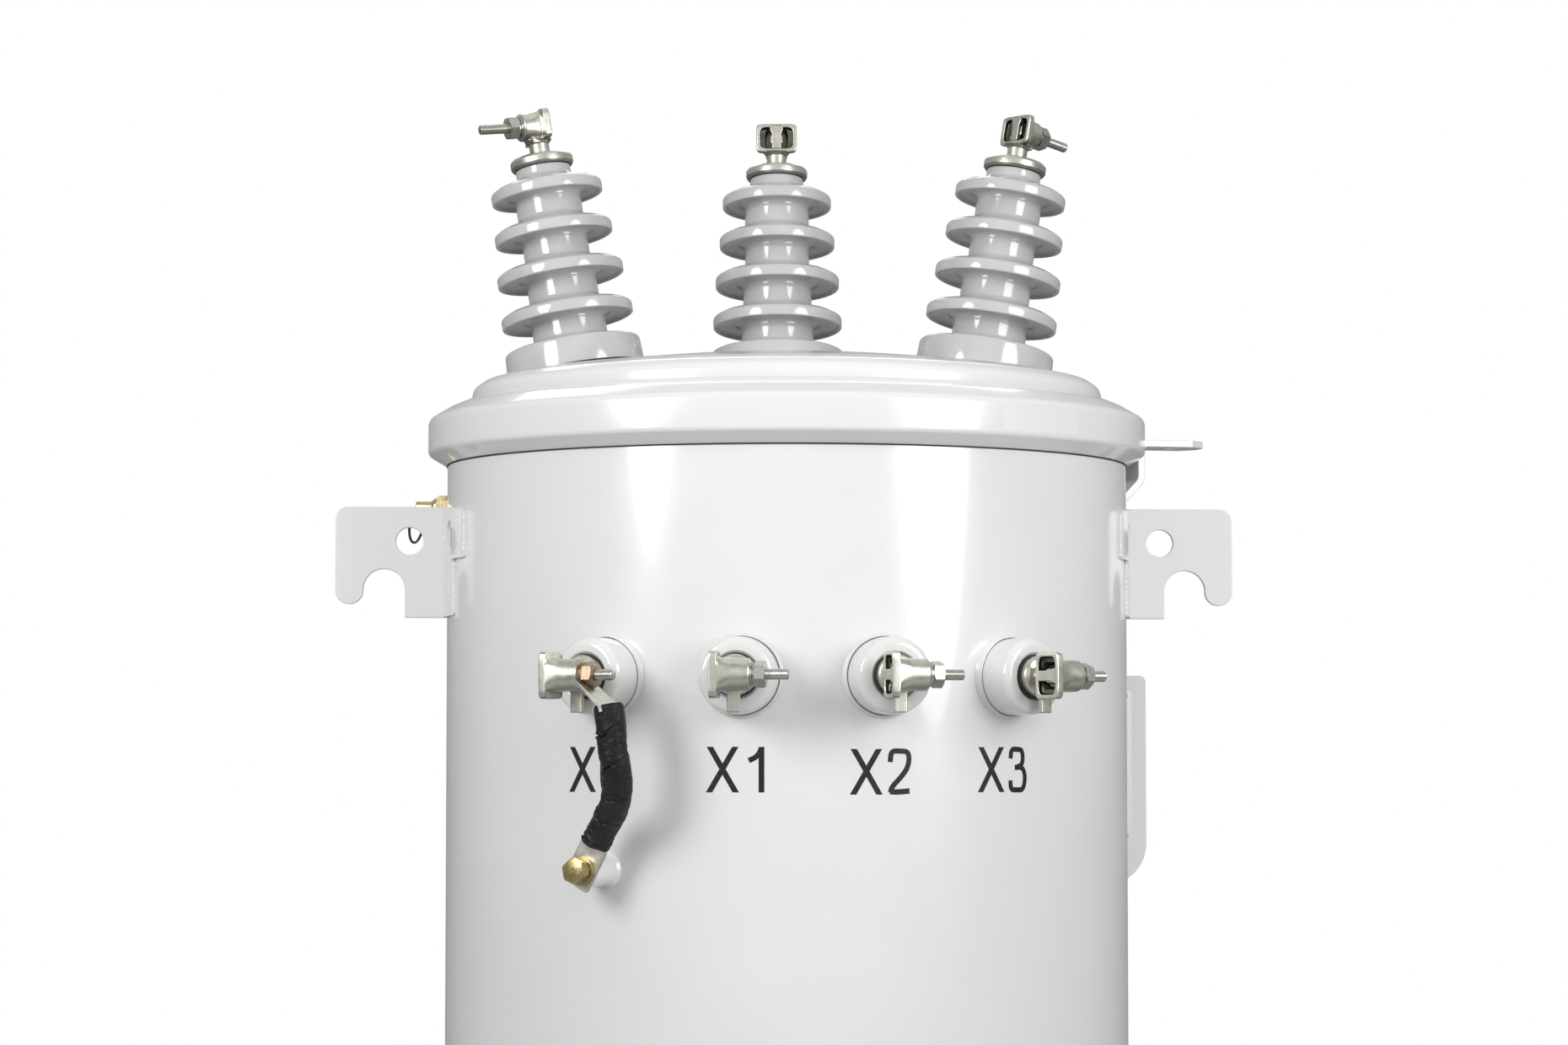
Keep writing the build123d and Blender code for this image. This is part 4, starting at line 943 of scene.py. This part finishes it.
# ---- Lifting lugs, hangers and brackets ----
def lug_flange(side, low, high, turn, fall=0.0):
    """A strip of plate rolled to the wall, from the lug's root round to a turn, its top edge falling."""
    outline, drops = [], []
    for radius, turns in ((TANK_R + 0.3, range(0, 13)), (TANK_R + LUG_FLANGE_T, range(12, -1, -1))):
        for step in turns:
            outline.append(outward(side * (90 - turn * step / 12)) * radius)
            drops.append(fall * step / 12)
    verts, faces = prism([(p.x, p.y) for p in outline], low, high)
    for corner, drop in zip(verts[len(drops) :], drops):
        corner.z -= drop
    count = len(drops)
    caps = [[k, k + 1, count - 2 - k, count - 1 - k] for k in range(12)]
    return verts, [*caps, *[[i + count for i in face] for face in caps], *faces[2:]]


def seam(name, azimuth, reach, low, high, radius):
    """An upright weld on the tank's wall."""
    weld(name, [at(azimuth, reach, z) for z in range(low, high, 3)], radius)


def lifting_lug(side, name):
    """An upright plate with an eye and a notch, and its flange with a window along the wall."""
    notch_top = LUG_BOTTOM_Z + LUG_NOTCH_H
    tip_in = LUG_NOTCH_IN + LUG_NOTCH_W
    finger = LUG_BOTTOM_Z + LUG_FINGER_DROP
    round_end = (LUG_TIP - tip_in) / 2 - 0.3
    outline = [
        (TANK_R + 0.3, LUG_BOTTOM_Z),
        (LUG_NOTCH_IN, LUG_BOTTOM_Z, 1.0),
        (LUG_NOTCH_IN, notch_top, LUG_NOTCH_W / 2 - 0.05),
        (tip_in, notch_top, LUG_NOTCH_W / 2 - 0.05),
        (tip_in, finger, round_end),
        (LUG_TIP, finger, round_end),
        (LUG_TIP, LUG_TOP_Z, 11.0),
        (TANK_R + 0.3, LUG_TOP_Z),
    ]
    outline = [(side * p.x, p.y) for p in soften(outline, 10, closed=True)]
    upright = frame_of((0, LUG_T / 2, 0), X_AXIS, -Y_AXIS)
    plate = link(name, mesh_of(name, placed(prism(outline, 0, LUG_T), upright)))
    eye_x, eye_z, eye_r = LUG_EYE
    eye = turned([(0, -20), (eye_r, -20), (eye_r, 20), (0, 20)], 64)
    combine(plate, placed(eye, frame_of((side * eye_x, 0, eye_z), X_AXIS, Y_AXIS)))
    middle = (LUG_BOTTOM_Z + LUG_TOP_Z) / 2
    lower_turn = LUG_FLANGE_TURN - LUG_FLANGE_STEP
    upper = lug_flange(side, middle - 0.01, LUG_TOP_Z, LUG_FLANGE_TURN, LUG_FLANGE_FALL)
    flange = link(name + " flange", mesh_of(name + " flange", upper))
    combine(flange, lug_flange(side, LUG_BOTTOM_Z, middle, lower_turn), "UNION")
    window = rounded(LUG_WINDOW_W / 2, LUG_WINDOW_H / 2, LUG_WINDOW_W / 2 - 0.1)
    combine(flange, placed(prism(window, -12, 20), wall_frame(side * (90 - LUG_WINDOW_TURN), eye_z)))
    plate.name, flange.name = f"lug_{name}_plate", f"lug_{name}_flange"
    painted_plate(plate, 0.9, [f"lifting_lug_{name}"])
    painted_plate(flange, 0.9)
    top = int(LUG_TOP_Z - LUG_FLANGE_FALL)
    seam(f"lug_{name}_weld_high", side * (90 - LUG_FLANGE_TURN), 300.5, int(middle) + 1, top, 1.3)
    low = int(LUG_BOTTOM_Z) + 1
    lower_edge = side * (90 - LUG_FLANGE_TURN + LUG_FLANGE_STEP)
    seam(f"lug_{name}_weld_low", lower_edge, 300.5, low, int(middle), 1.3)


def pole_hanger(name, middle):
    """A channel whose web stands off the tank, slotted for the pole's bolt."""
    half, back = HANGER_W / 2, TANK_R + HANGER_STAND
    root = math.sqrt(TANK_R**2 - half**2) + 0.5
    inner_half, inner_back = half - HANGER_T, back - HANGER_T
    inner_root = math.sqrt(TANK_R**2 - inner_half**2) + 0.5
    outline = [(-half, root), (-half, back, 9.0), (half, back, 9.0), (half, root), (inner_half, inner_root)]
    outline += [(inner_half, inner_back, 3.5), (-inner_half, inner_back, 3.5), (-inner_half, inner_root)]
    label = f"hanger_{name}"
    channel = prism(soften(outline, 6, closed=True), middle - HANGER_H / 2, middle + HANGER_H / 2)
    obj = link(label, mesh_of(label, channel))
    slot = rounded(HANGER_SLOT_R, HANGER_SLOT_L / 2, HANGER_SLOT_R - 0.1)
    combine(obj, placed(prism(slot, 40, 90), wall_frame(180, middle)))
    painted_plate(obj, 0.9, [f"pole_hanger_{name}"])
    for side, which in ((-1, "left"), (1, "right")):
        x = side * (half + 0.8)
        y = math.sqrt(TANK_R**2 - x**2) + 1
        points = [(x, y, z) for z in range(int(middle - 48), int(middle + 49), 3)]
        weld(f"hanger_{name}_weld_{which}", points, 3.0)


def arrester_tab():
    """The bent bracket: foot on the wall, jog out past the band, strap and a tab with cut corners."""
    outline = bent_plate(soften([(r, z, 9.0) for r, z in BRACKET_PATH], 6), BRACKET_T)
    place = frame_of((0, 0, 0), outward(BRACKET_AZIMUTH), -sideways(BRACKET_AZIMUTH))
    half = BRACKET_W / 2
    obj = link("arrester_tab", mesh_of("arrester_tab", placed(prism(outline, -half, half), place)))
    tip, top_z = BRACKET_PATH[-1]
    top = frame_of((0, 0, top_z - 15), outward(BRACKET_AZIMUTH), Z_AXIS)
    for side in (-1, 1):
        corner = [(tip - 14, side * (half + 0.01)), (tip + 5, side * (half - 19.01))]
        corner += [(tip + 5, side * (half + 8)), (tip - 14, side * (half + 8))]
        combine(obj, placed(prism(corner, 0, 30), top))
    hole_x = BRACKET_PATH[-2][0] + BRACKET_T + 59 * 0.55
    hole = turned([(0, 0), (7, 0), (7, 30), (0, 30)], 48)
    combine(obj, placed(hole, top @ Matrix.Translation((hole_x, 0, 0))))
    painted_plate(obj, 0.8, ["arrester_bracket"], angle=45)
    turn = math.degrees(math.asin((half + 1) / TANK_R))
    for side, which in ((-1, "near"), (1, "far")):
        seam(f"arrester_weld_{which}", BRACKET_AZIMUTH + side * turn, 301.5, 825, 854, 2.6)


def relief_valve_and_ring():
    """The valve's hexagon and stem in brass, and the ring that pulls it."""
    place = wall_frame(VALVE_AZIMUTH, VALVE_Z)
    collar = turned(soften([(0, -3), (11.4, -3), (11.4, 1.6, 0.6), (0, 1.6)], 3), 64)
    nut = placed(hexagon(VALVE_HEX, VALVE_HEX_L - 4), lift(1.5))
    bell = [(0, 14), (8.6, 14), (8.2, 17.0, 1.0), (6.6, 17.8, 0.8)]
    bell += [(VALVE_STEM_R, 20, 1.5), (VALVE_STEM_R, 34, 1.2), (0, 34)]
    body = placed(joined([collar, nut, turned(soften(bell, 4), 64)]), place)
    piece("valve_brass_body", body, BRASS, ["relief_valve"], sharp=30)
    centre = place @ Vector((0, 0, VALVE_HEX_L + VALVE_STEM_L - 2.4)) - Vector((0, 0, RING_R))
    rows = []
    for k in range(72):
        a = 2 * math.pi * k / 72
        middle = Vector((0, math.cos(a), math.sin(a))) * RING_R
        row = []
        for j in range(12):
            b = 2 * math.pi * j / 12
            out = Vector((math.sin(b), math.cos(a) * math.cos(b), math.sin(a) * math.cos(b)))
            row.append(middle + out * RING_WIRE_R)
        rows.append(row)
    swing = lift(RING_R) @ Matrix.Rotation(math.radians(-9), 4, "Y") @ lift(-RING_R)
    turn = frame_of(centre, outward(VALVE_AZIMUTH - 10), Z_AXIS) @ swing
    wire = placed(lofted(rows, closed=True), turn)
    # the ring's near-black colour is painted shade
    piece("valve_ring", wire, SHADED_WIRE, ["pull_ring"], sharp=80)


def nameplate_and_bracket():
    """A flat plate beside the tank that faces the front, and the plate riveted to it."""
    root = math.sqrt(TANK_R**2 - PLATE_BACK**2)
    tip = root + PLATE_W
    outline = [(root - 1, PLATE_BOTTOM_Z), (tip, PLATE_BOTTOM_Z, PLATE_LOWER_R)]
    outline += [(tip, PLATE_TOP_Z, PLATE_UPPER_R), (root - 1, PLATE_TOP_Z)]
    place = frame_of((0, PLATE_BACK, 0), X_AXIS, -Y_AXIS)
    shape = placed(prism(soften(outline, 10, closed=True), 0, PLATE_T), place)
    piece("plate_bracket", shape, PAINT, ["nameplate_bracket"], bevel=0.5)
    weld("plate_bracket_weld", [(root - 0.5, PLATE_BACK - 3.2, z) for z in range(508, 698, 3)], 2.2)
    margin = (PLATE_W - NAMEPLATE_W) / 2
    left, low = tip - margin - NAMEPLATE_W, (PLATE_TOP_Z + PLATE_BOTTOM_Z) / 2 + margin - NAMEPLATE_H / 2
    right, high = left + NAMEPLATE_W, low + NAMEPLATE_H
    outline = soften([(left, low, 3), (right, low, 3), (right, high, 3), (left, high, 3)], 4, closed=True)
    face = place @ lift(PLATE_T)
    plate = placed(prism(outline, 0, NAMEPLATE_T), face)
    piece("rating_plate", plate, PLATE, ["nameplate"], bevel=0.2)
    printed = (NAMEPLATE_T, NAMEPLATE_T + 0.06)
    rows = [low + 18 + row * 12 for row in range(9)]
    rules = [block((left + 6, right - 6), (z, z + 0.5), printed) for z in rows]
    columns = (left + 6, left + 40, right - 6.5)
    rules += [block((x, x + 0.5), (low + 18, low + 114.5), printed) for x in columns]
    piece("rating_plate_rules", placed(joined(rules), face), MARKS)
    dome = turned([(2.2, 0), (2.1, 0.5), (1.5, 1.0), (0.8, 1.25), (0, 1.3)], 20)
    spots = [(x, z, NAMEPLATE_T - 0.05) for x in (left + 5, right - 5) for z in (low + 5, high - 5)]
    rivets = joined([placed(dome, Matrix.Translation(spot)) for spot in spots])
    piece("rating_plate_rivets", placed(rivets, face), STUD, sharp=60)


# ---- Ground boss, bolt and strap ----
def ground_boss_and_bolt():
    """The boss welded to the wall, its bolt with two washers, and the strap's lower lug."""
    place = wall_frame(GROUND_AZIMUTH, GROUND_Z)
    body = [(0, -3), (GROUND_BOSS_R + 2.4, -3), (GROUND_BOSS_R + 1.6, 1.0, 1), (GROUND_BOSS_R, 3.4, 2)]
    body = soften([*body, (GROUND_BOSS_R, GROUND_BOSS_H, 1.2), (0, GROUND_BOSS_H)], 5)
    piece("ground_boss_body", placed(turned(body, 72), place), PAINT, ["ground_boss"], sharp=60)
    turn = math.radians(STRAP_TURN)
    along, beside = Vector((math.sin(turn), math.cos(turn))), Vector((math.cos(turn), -math.sin(turn)))
    outline = []
    for x, y, *radius in ((1, -STRAP_END, 3), (1, STRAP_L), (-1, STRAP_L), (-1, -STRAP_END, 3)):
        outline.append((*(beside * (STRAP_W / 2 * x) + along * y), *radius))
    outline = [(p.x, p.y) for p in soften(outline, 5, closed=True)]
    lug = placed(prism(outline, 0, STRAP_T), place @ lift(GROUND_BOSS_H))
    piece("strap_end_lower", lug, TINNED, ["strap_lug_lower"], bevel=0.6)
    flat = turned(soften([(0, 0), (GROUND_WASHER_R, 0, 0.5), (GROUND_WASHER_R, 2.2, 0.5), (0, 2.2)], 3), 64)
    split = turned(soften([(0, 2.3), (9.6, 2.3, 0.4), (9.6, 4.9, 0.4), (0, 4.9)], 3), 64)
    head = placed(hexagon(GROUND_HEAD_FLATS, GROUND_HEAD_T - 0.5), lift(5) @ Matrix.Rotation(0.2, 4, "Z"))
    shape = placed(joined([flat, split, head]), place @ lift(GROUND_BOSS_H + STRAP_T))
    piece("ground_bolt_set", shape, YELLOW_ZINC, ["ground_bolt"], sharp=28)


def strap_top_lug():
    """The strap's upper lug: a round eye under the nut, then a blade bent out towards the sleeve."""
    place = lv_connector_frame("x0")
    half = STRAP_W / 2
    front = place @ frame_of((CASTING_END, 0, 0), Y_AXIS, X_AXIS)
    eye = turned([(4.7, 0), (half + 1.4, 0), (half + 1.4, STRAP_T), (4.7, STRAP_T)], 64, closed=True)
    side = soften([(0, 4), (0.2, -6, 4), (23.4, -25.5, 6), (24.8, -30)], 6)
    outline = [(x + CASTING_END, y) for x, y in bent_plate(side, -STRAP_T)]
    blade = placed(prism(outline, -half, half), place)
    obj = link("strap_end_upper", mesh_of("strap_end_upper", blade))
    hole = turned([(0, -6), (6.2, -6), (6.2, 8), (0, 8)], 40)
    combine(obj, placed(hole, front))
    combine(obj, placed(eye, front), "UNION")
    tidy_flats(obj)
    break_edges(obj, 0.5)
    dress(obj, TINNED, ["strap_lug_upper"], sharp=40)


def route_line():
    """The sleeve's centreline: a smooth spline steered by the strap's own points, read back as points."""
    top = lv_connector_frame("x0")
    turn = math.radians(SLEEVE_TOP_TURN)
    start = top @ Vector((CASTING_END + SLEEVE_TOP_OUT + STRAP_T / 2, -SLEEVE_TOP_DROP, 0))
    lean = top.to_3x3() @ Vector((math.sin(turn), -math.cos(turn), 0))
    foot = wall_frame(GROUND_AZIMUTH, GROUND_Z, GROUND_BOSS_H)
    aim = Vector((math.sin(math.radians(STRAP_TURN)), math.cos(math.radians(STRAP_TURN)), 0))
    end = foot @ (aim * STRAP_L + Vector((0, 0, STRAP_T / 2)))
    rise = foot.to_3x3() @ aim
    steer = [start, start + lean * SLEEVE_END_RUN]
    steer += [at(azimuth, TANK_R + reach, LV_Z - drop) for azimuth, reach, drop in SLEEVE_ROUTE]
    steer += [end + rise * SLEEVE_END_RUN, end]
    curve = bpy.data.curves.new("sleeve route", "CURVE")
    curve.dimensions = "3D"
    curve.resolution_u = 24
    spline = curve.splines.new("NURBS")
    spline.points.add(len(steer) - 1)
    for point, place in zip(spline.points, steer):
        point.co = (*place, 1.0)
    spline.order_u = 3
    spline.use_endpoint_u = True
    holder = link("sleeve route", curve)
    bpy.context.view_layer.update()
    graph = bpy.context.evaluated_depsgraph_get()
    mesh = bpy.data.meshes.new_from_object(holder.evaluated_get(graph))
    points = [v.co.copy() for v in mesh.vertices]
    bpy.data.objects.remove(holder)
    return points


def sleeve_tree():
    """A tight sleeve along a path: wrinkled across its length, folded hard at a few places."""
    sizes = {"Radius": 0.0115, "Wrinkle": 0.0009, "Fold": 0.0022, "Fold Spacing": 0.036, "Fold Start": 0.028}
    tree = Tree("wrinkled sleeve", sizes)
    spline = tree.node("GeometryNodeSplineParameter")
    kept = tree.node("GeometryNodeCaptureAttribute", [("Geometry", tree.path(0.0007))])
    kept.capture_items.new("FLOAT", "along")
    tree.tree.links.new(spline.outputs["Length"], kept.inputs["along"])
    along, fraction = kept.outputs["along"], spline.outputs["Factor"]
    end = tree.math("MINIMUM", fraction, tree.less(1.0, fraction))
    taper = tree.between(end, 0.94, 1.0, 0.0, 0.012, interpolation_type="SMOOTHERSTEP")
    tube = tree.tube(kept.outputs[0], 72, tree.given("Radius"), taper)
    normal = tree.made("GeometryNodeInputNormal")
    where = tree.made("GeometryNodeInputPosition")
    facing = tree.node("ShaderNodeSeparateXYZ", [("Vector", normal)]).outputs
    warp = tree.cloud(45.0, 2.0, where=where)
    shifted = tree.add(along, tree.times(tree.less(warp, 0.5), 0.022))
    tilt = tree.times(facing[0], 0.0035)
    phase = tree.less(tree.add(shifted, tilt), tree.given("Fold Start"))
    phase = tree.over(phase, tree.given("Fold Spacing"))
    saw = tree.math("ABSOLUTE", tree.less(tree.math("FRACT", phase), 0.5))
    crease = tree.eased(saw, 1.0, 0.0, 0.0, 0.09)
    swell = tree.eased(saw, 0.45, 0.0, 0.05, 0.22)
    inner = tree.between(facing[0], 1.0, 0.18, -0.9, 0.8)
    deep = tree.times(tree.times(tree.less(swell, crease), inner), tree.given("Fold"))
    x, y, z = tree.times(shifted, 260.0), tree.times(facing[0], 1.6), tree.times(facing[1], 1.6)
    across = tree.made("ShaderNodeCombineXYZ", [("X", x), ("Y", y), ("Z", z)])
    fine = tree.cloud(1.0, 3.0, roughness=0.55, where=across)
    ridge = tree.less(tree.math("ABSOLUTE", tree.less(fine, 0.5)), 0.12)
    ridge = tree.times(ridge, tree.times(tree.given("Wrinkle"), -4.0))
    lump = tree.times(tree.less(tree.cloud(90.0, 2.0, where=where), 0.5), 0.0022)
    push = tree.node("ShaderNodeVectorMath", [(0, normal)], operation="SCALE")
    tree.tree.links.new(tree.add(tree.add(deep, ridge), lump), push.inputs["Scale"])
    return tree.close(tree.made("GeometryNodeSetPosition", [("Geometry", tube), ("Offset", push.outputs[0])]))


def strap_sleeve():
    """The black sleeve over the strap."""
    values = {"Radius": (SLEEVE_R + 0.5) * MM, "Wrinkle": 0.0009, "Fold": 0.0027}
    values |= {"Fold Spacing": 0.026, "Fold Start": 0.033}
    sleeve = grown("sleeve_black", path_mesh("sleeve_black", route_line()), sleeve_tree(), values, TAPE)
    dress(sleeve, TAPE, ["strap_sleeve"], sharp=60)


# ---- Terminal marks and label ----


def smooth_line(points, rounds):
    """A line through flat points with its corners cut again and again."""
    line = [Vector(p) for p in points]
    for _ in range(rounds):
        cut_line = [line[0]]
        for a, b in zip(line, line[1:]):
            cut_line += [a.lerp(b, 0.25), a.lerp(b, 0.75)]
        line = [*cut_line, line[-1]]
    return line


def brush_stroke(points, width, left, base, rise, level=False):
    """A stroke of paint on the tank's wall, flat points being millimetres right of and above a corner."""
    line = [Vector(p) for p in points]
    fine = [line[0]]
    for a, b in zip(line, line[1:]):
        parts = max(1, round((b - a).length / 2))
        fine += [a.lerp(b, k / parts) for k in range(1, parts + 1)]
    low, high, rows = TANK_R - SUNK, TANK_R + rise, []
    for i, here in enumerate(fine):
        along = (fine[min(i + 1, len(fine) - 1)] - fine[max(i - 1, 0)]).normalized()
        beside = Vector((1, 0)) if level else Vector((along.y, -along.x))
        row = []
        for edge, radius in ((-0.5, low), (-0.5, high), (0.5, high), (0.5, low)):
            spot = here + beside * (width * edge)
            row.append(at(left + math.degrees(spot.x / TANK_R), radius, base + spot.y))
        rows.append(row)
    return lofted(rows)


PEN, LETTER_W, LETTER_H, LETTER_PEN, FIGURE_GAP = 4.3, 27.5, 37.0, 5.3, 4.6
FIGURES = {
    "0": [
        (3, PEN, [(8.4, 2.1), (3, 2.1), (1.6, 10), (1.6, 27), (3, 34.8), (8.6, 34.8), (14, 34.8), (15.6, 27),
                  (15.6, 10), (14, 2.1), (8.4, 2.1)]),
    ],
    "1": [
        (0, PEN + 0.3, [(13.6, 0), (13.6, 36.9)]),
        (2, PEN, [(3.2, 25.8), (8.5, 28.2), (11.6, 31.2), (13.4, 35.6)]),
    ],
    "2": [
        (3, PEN, [(1.8, 26.4), (2.6, 35.4), (10.5, 35.4), (18.2, 34.6), (17.6, 22.6), (10.5, 13.4),
                  (3.4, 6.6), (1.9, 1.6)]),
        (1, PEN + 0.2, [(1.4, 2.4), (8, 2.0), (18.4, 2.9)]),
    ],
    "3": [
        (3, PEN, [(2.0, 27.6), (3.0, 35.4), (9.2, 35.2), (15.6, 34.6), (15.6, 22.6), (9.0, 20.4),
                  (6.6, 20.2)]),
        (3, PEN, [(6.6, 20.2), (15.4, 20.6), (18.6, 13.0), (16.2, 1.6), (8.6, 1.8), (2.2, 1.8),
                  (1.8, 9.6)]),
    ],
}
MARK_PLACES = {"x0": (-40.3, 596.4), "x1": (-16.25, 596.5), "x2": (6.2, 594.7), "x3": (27.9, 596.2)}


def terminal_mark(name, left, base):
    """The letter and figure under a low voltage bushing, painted by hand through a stencil."""
    strokes = [
        (((2.7, 0), (LETTER_W - 3.1, LETTER_H)), LETTER_PEN, True),
        (((LETTER_W - 2.7, 0), (3.3, LETTER_H)), LETTER_PEN, True),
    ]
    start = LETTER_W + FIGURE_GAP
    for rounds, width, points in FIGURES[name[1]]:
        line = smooth_line(points, rounds)
        strokes.append(([(p[0] + start, p[1]) for p in line], width, False))
    shapes = []
    for order, (points, width, level) in enumerate(strokes):
        shapes.append(brush_stroke(points, width, left, base, 0.10 + 0.02 * order, level))
    piece(f"mark_{name}", joined(shapes), MARKS, sharp=30)


def blank_label():
    """A clear label on the band, left blank."""
    back, face = BAND_R - SUNK, BAND_R + 0.12
    corners = ((back, LABEL_LOW_Z), (back, LABEL_HIGH_Z), (face, LABEL_HIGH_Z), (face, LABEL_LOW_Z))
    rows = [[at(LABEL_START + LABEL_TURN * k / 24, *corner) for corner in corners] for k in range(25)]
    piece("band_label_blank", lofted(rows), LABEL, sharp=30)


# ---- Build every piece ----
tank_shell()
clamp_band_and_bolt()
# Painted shadow: a thin dark rubber ring under the band's lower edge, standing for the shade in its joint
# with the wall
shadow_line = [(299.9, 879.6), (300.9, 879.6), (300.9, 880.9), (299.9, 880.9)]
piece("band_shadow_line", turned(shadow_line, ROUND, closed=True), RUBBER, sharp=40)
seal_in, seal_out = COVER_R + 0.4, LIP_R + 0.6
cover_seal = ring([(seal_in, 905.4), (seal_out, 905.4, 1), (seal_out, 908.1, 1), (seal_in, 908.1)], 192, 3)
piece("cover_seal", cover_seal, RUBBER, ["cover_gasket"], sharp=60)
cover_skin()

hv_blank = casting_blank("hv casting", HV_CASTING_END, HV_STEM_OFFSET, HV_STEM_R, HV_STEM_H, head=False)
lv_blank = casting_blank("lv casting", CASTING_END, LV_STEM_OFFSET, LV_STEM_R, LV_STEM_H, head=True)
for name in HV_PLACES:
    hv_porcelain(name)
    hv_cap(name)
    connector(f"hv_{name}", hv_blank, hv_connector_frame(name), HV_CASTING_END, WASHER_T, STUD)
collars = []
for name in LV_NAMES:
    collars.append(lv_bushing(name))
    hardware = (0, PINK_ZINC) if name == "x0" else (WASHER_T, STUD)
    connector(f"lv_{name}", lv_blank, lv_connector_frame(name), CASTING_END, *hardware)
piece("lv_collar_rings", joined(collars), PAINT, ["lv_collars"], sharp=50)

lifting_lug(-1, "left")
lifting_lug(1, "right")
for name, middle in HANGER_Z.items():
    pole_hanger(name, middle)
arrester_tab()
relief_valve_and_ring()
nameplate_and_bracket()
ground_boss_and_bolt()
strap_top_lug()
strap_sleeve()
for name, (left, base) in MARK_PLACES.items():
    terminal_mark(name, left, base)
blank_label()


# ---- Floor, light and camera ----
def studio_world(low, high, front, gloss):
    """White behind the object wherever it is looked past; greys by direction for light and reflections."""
    world = bpy.data.worlds.new("studio")
    bpy.context.scene.world = world
    world.use_nodes = True
    sky = Wired(world.node_tree)
    rays = sky.node("ShaderNodeLightPath").outputs
    generated = sky.node("ShaderNodeTexCoord").outputs["Generated"]
    way = sky.node("ShaderNodeSeparateXYZ", [("Vector", generated)]).outputs
    above = sky.eased(way["Z"], low, high, -0.2, 0.5)
    before = sky.eased(way["Y"], front, 0.0, -1.0, 0.35)
    strength = sky.node("ShaderNodeMath", [(0, above), (1, before)], operation="ADD").outputs[0]
    behind = sky.eased(way["Z"], 0.27, gloss, -0.1, 0.4)
    ahead = sky.eased(way["Z"], 0.1, 0.7, -0.45, -0.05)
    shine = sky.eased(way["Y"], ahead, behind, -0.98, -0.55)
    for seen, value in (("Is Glossy Ray", shine), ("Is Transmission Ray", 1.0), ("Is Camera Ray", 1.0)):
        strength = sky.eased(rays[seen], strength, value, 0.0, 1.0)
    background = world.node_tree.nodes["Background"].inputs
    world.node_tree.links.new(strength, background["Strength"])
    background["Color"].default_value = (1.0, 1.0, 1.0, 1.0)


def studio_floor():
    """A round pale floor that fades out into the white around it and throws little light back up."""
    floor = link("floor", mesh_of("floor", turned([(0, -0.5), (3200, -0.5)], 96)))
    made = Finish("floor", Roughness=0.9)
    rays = made.node("ShaderNodeLightPath").outputs
    made.feed("Base Color", made.blend(rays["Is Diffuse Ray"], (0.86, 0.86, 0.86), (0.3, 0.3, 0.3)))
    far = made.node("ShaderNodeVectorMath", [(0, made.place)], operation="LENGTH").outputs["Value"]
    clear = made.node("ShaderNodeBsdfTransparent").outputs[0]
    fade = made.eased(far, 0.0, 1.0, 0.7, 2.6)
    mix = made.node("ShaderNodeMixShader", [(0, fade), (1, made.shader.outputs[0]), (2, clear)]).outputs[0]
    made.tree.links.new(mix, made.tree.nodes["Material Output"].inputs["Surface"])
    floor.data.materials.append(made.material)


def softbox(name, azimuth, distance, height, width, tall, power, aim):
    """A soft oval lamp that faces a point on the object's axis."""
    lamp = bpy.data.lights.new(name, "AREA")
    lamp.shape = "ELLIPSE"
    lamp.size, lamp.size_y, lamp.energy = width, tall, power
    obj = link(name, lamp)
    obj.location = at(azimuth, distance, height)
    look = Vector((0, 0, aim)) - obj.location
    obj.rotation_euler = look.to_track_quat("-Z", "Y").to_euler()
    obj.visible_camera = False


studio_world(low=0.04, high=0.24, front=0.57, gloss=0.42)
studio_floor()
for name, values in {
    "softbox left": (-46.5, 2.2, 1.44, 0.86, 1.1, 23.5, 1.1),
    "softbox right": (42.5, 2.2, 1.30, 1.08, 1.3, 23.5, 1.0),
    "softbox above": (0.0, 0.2, 3.2, 2.4, 2.0, 5.0, 0.9),
    "softbox rear": (180.0, 2.3, 3.0, 2.4, 1.4, 16.0, 0.7),
}.items():
    softbox(name, *values)

CAMERA_PLACE, CAMERA_TILT, CAMERA_PAN = (-0.2248, -3.5581, 0.6332), 3.196, -3.577
LENS, SENSOR_W = 92.389, 36.0
eye = bpy.data.cameras.new("camera")
eye.lens, eye.sensor_width = LENS, SENSOR_W
camera = link("camera", eye)
camera.location = CAMERA_PLACE
camera.rotation_euler = (math.radians(90 + CAMERA_TILT), 0, math.radians(CAMERA_PAN))
bpy.context.scene.camera = camera
bpy.context.scene.view_settings.view_transform = "Standard"
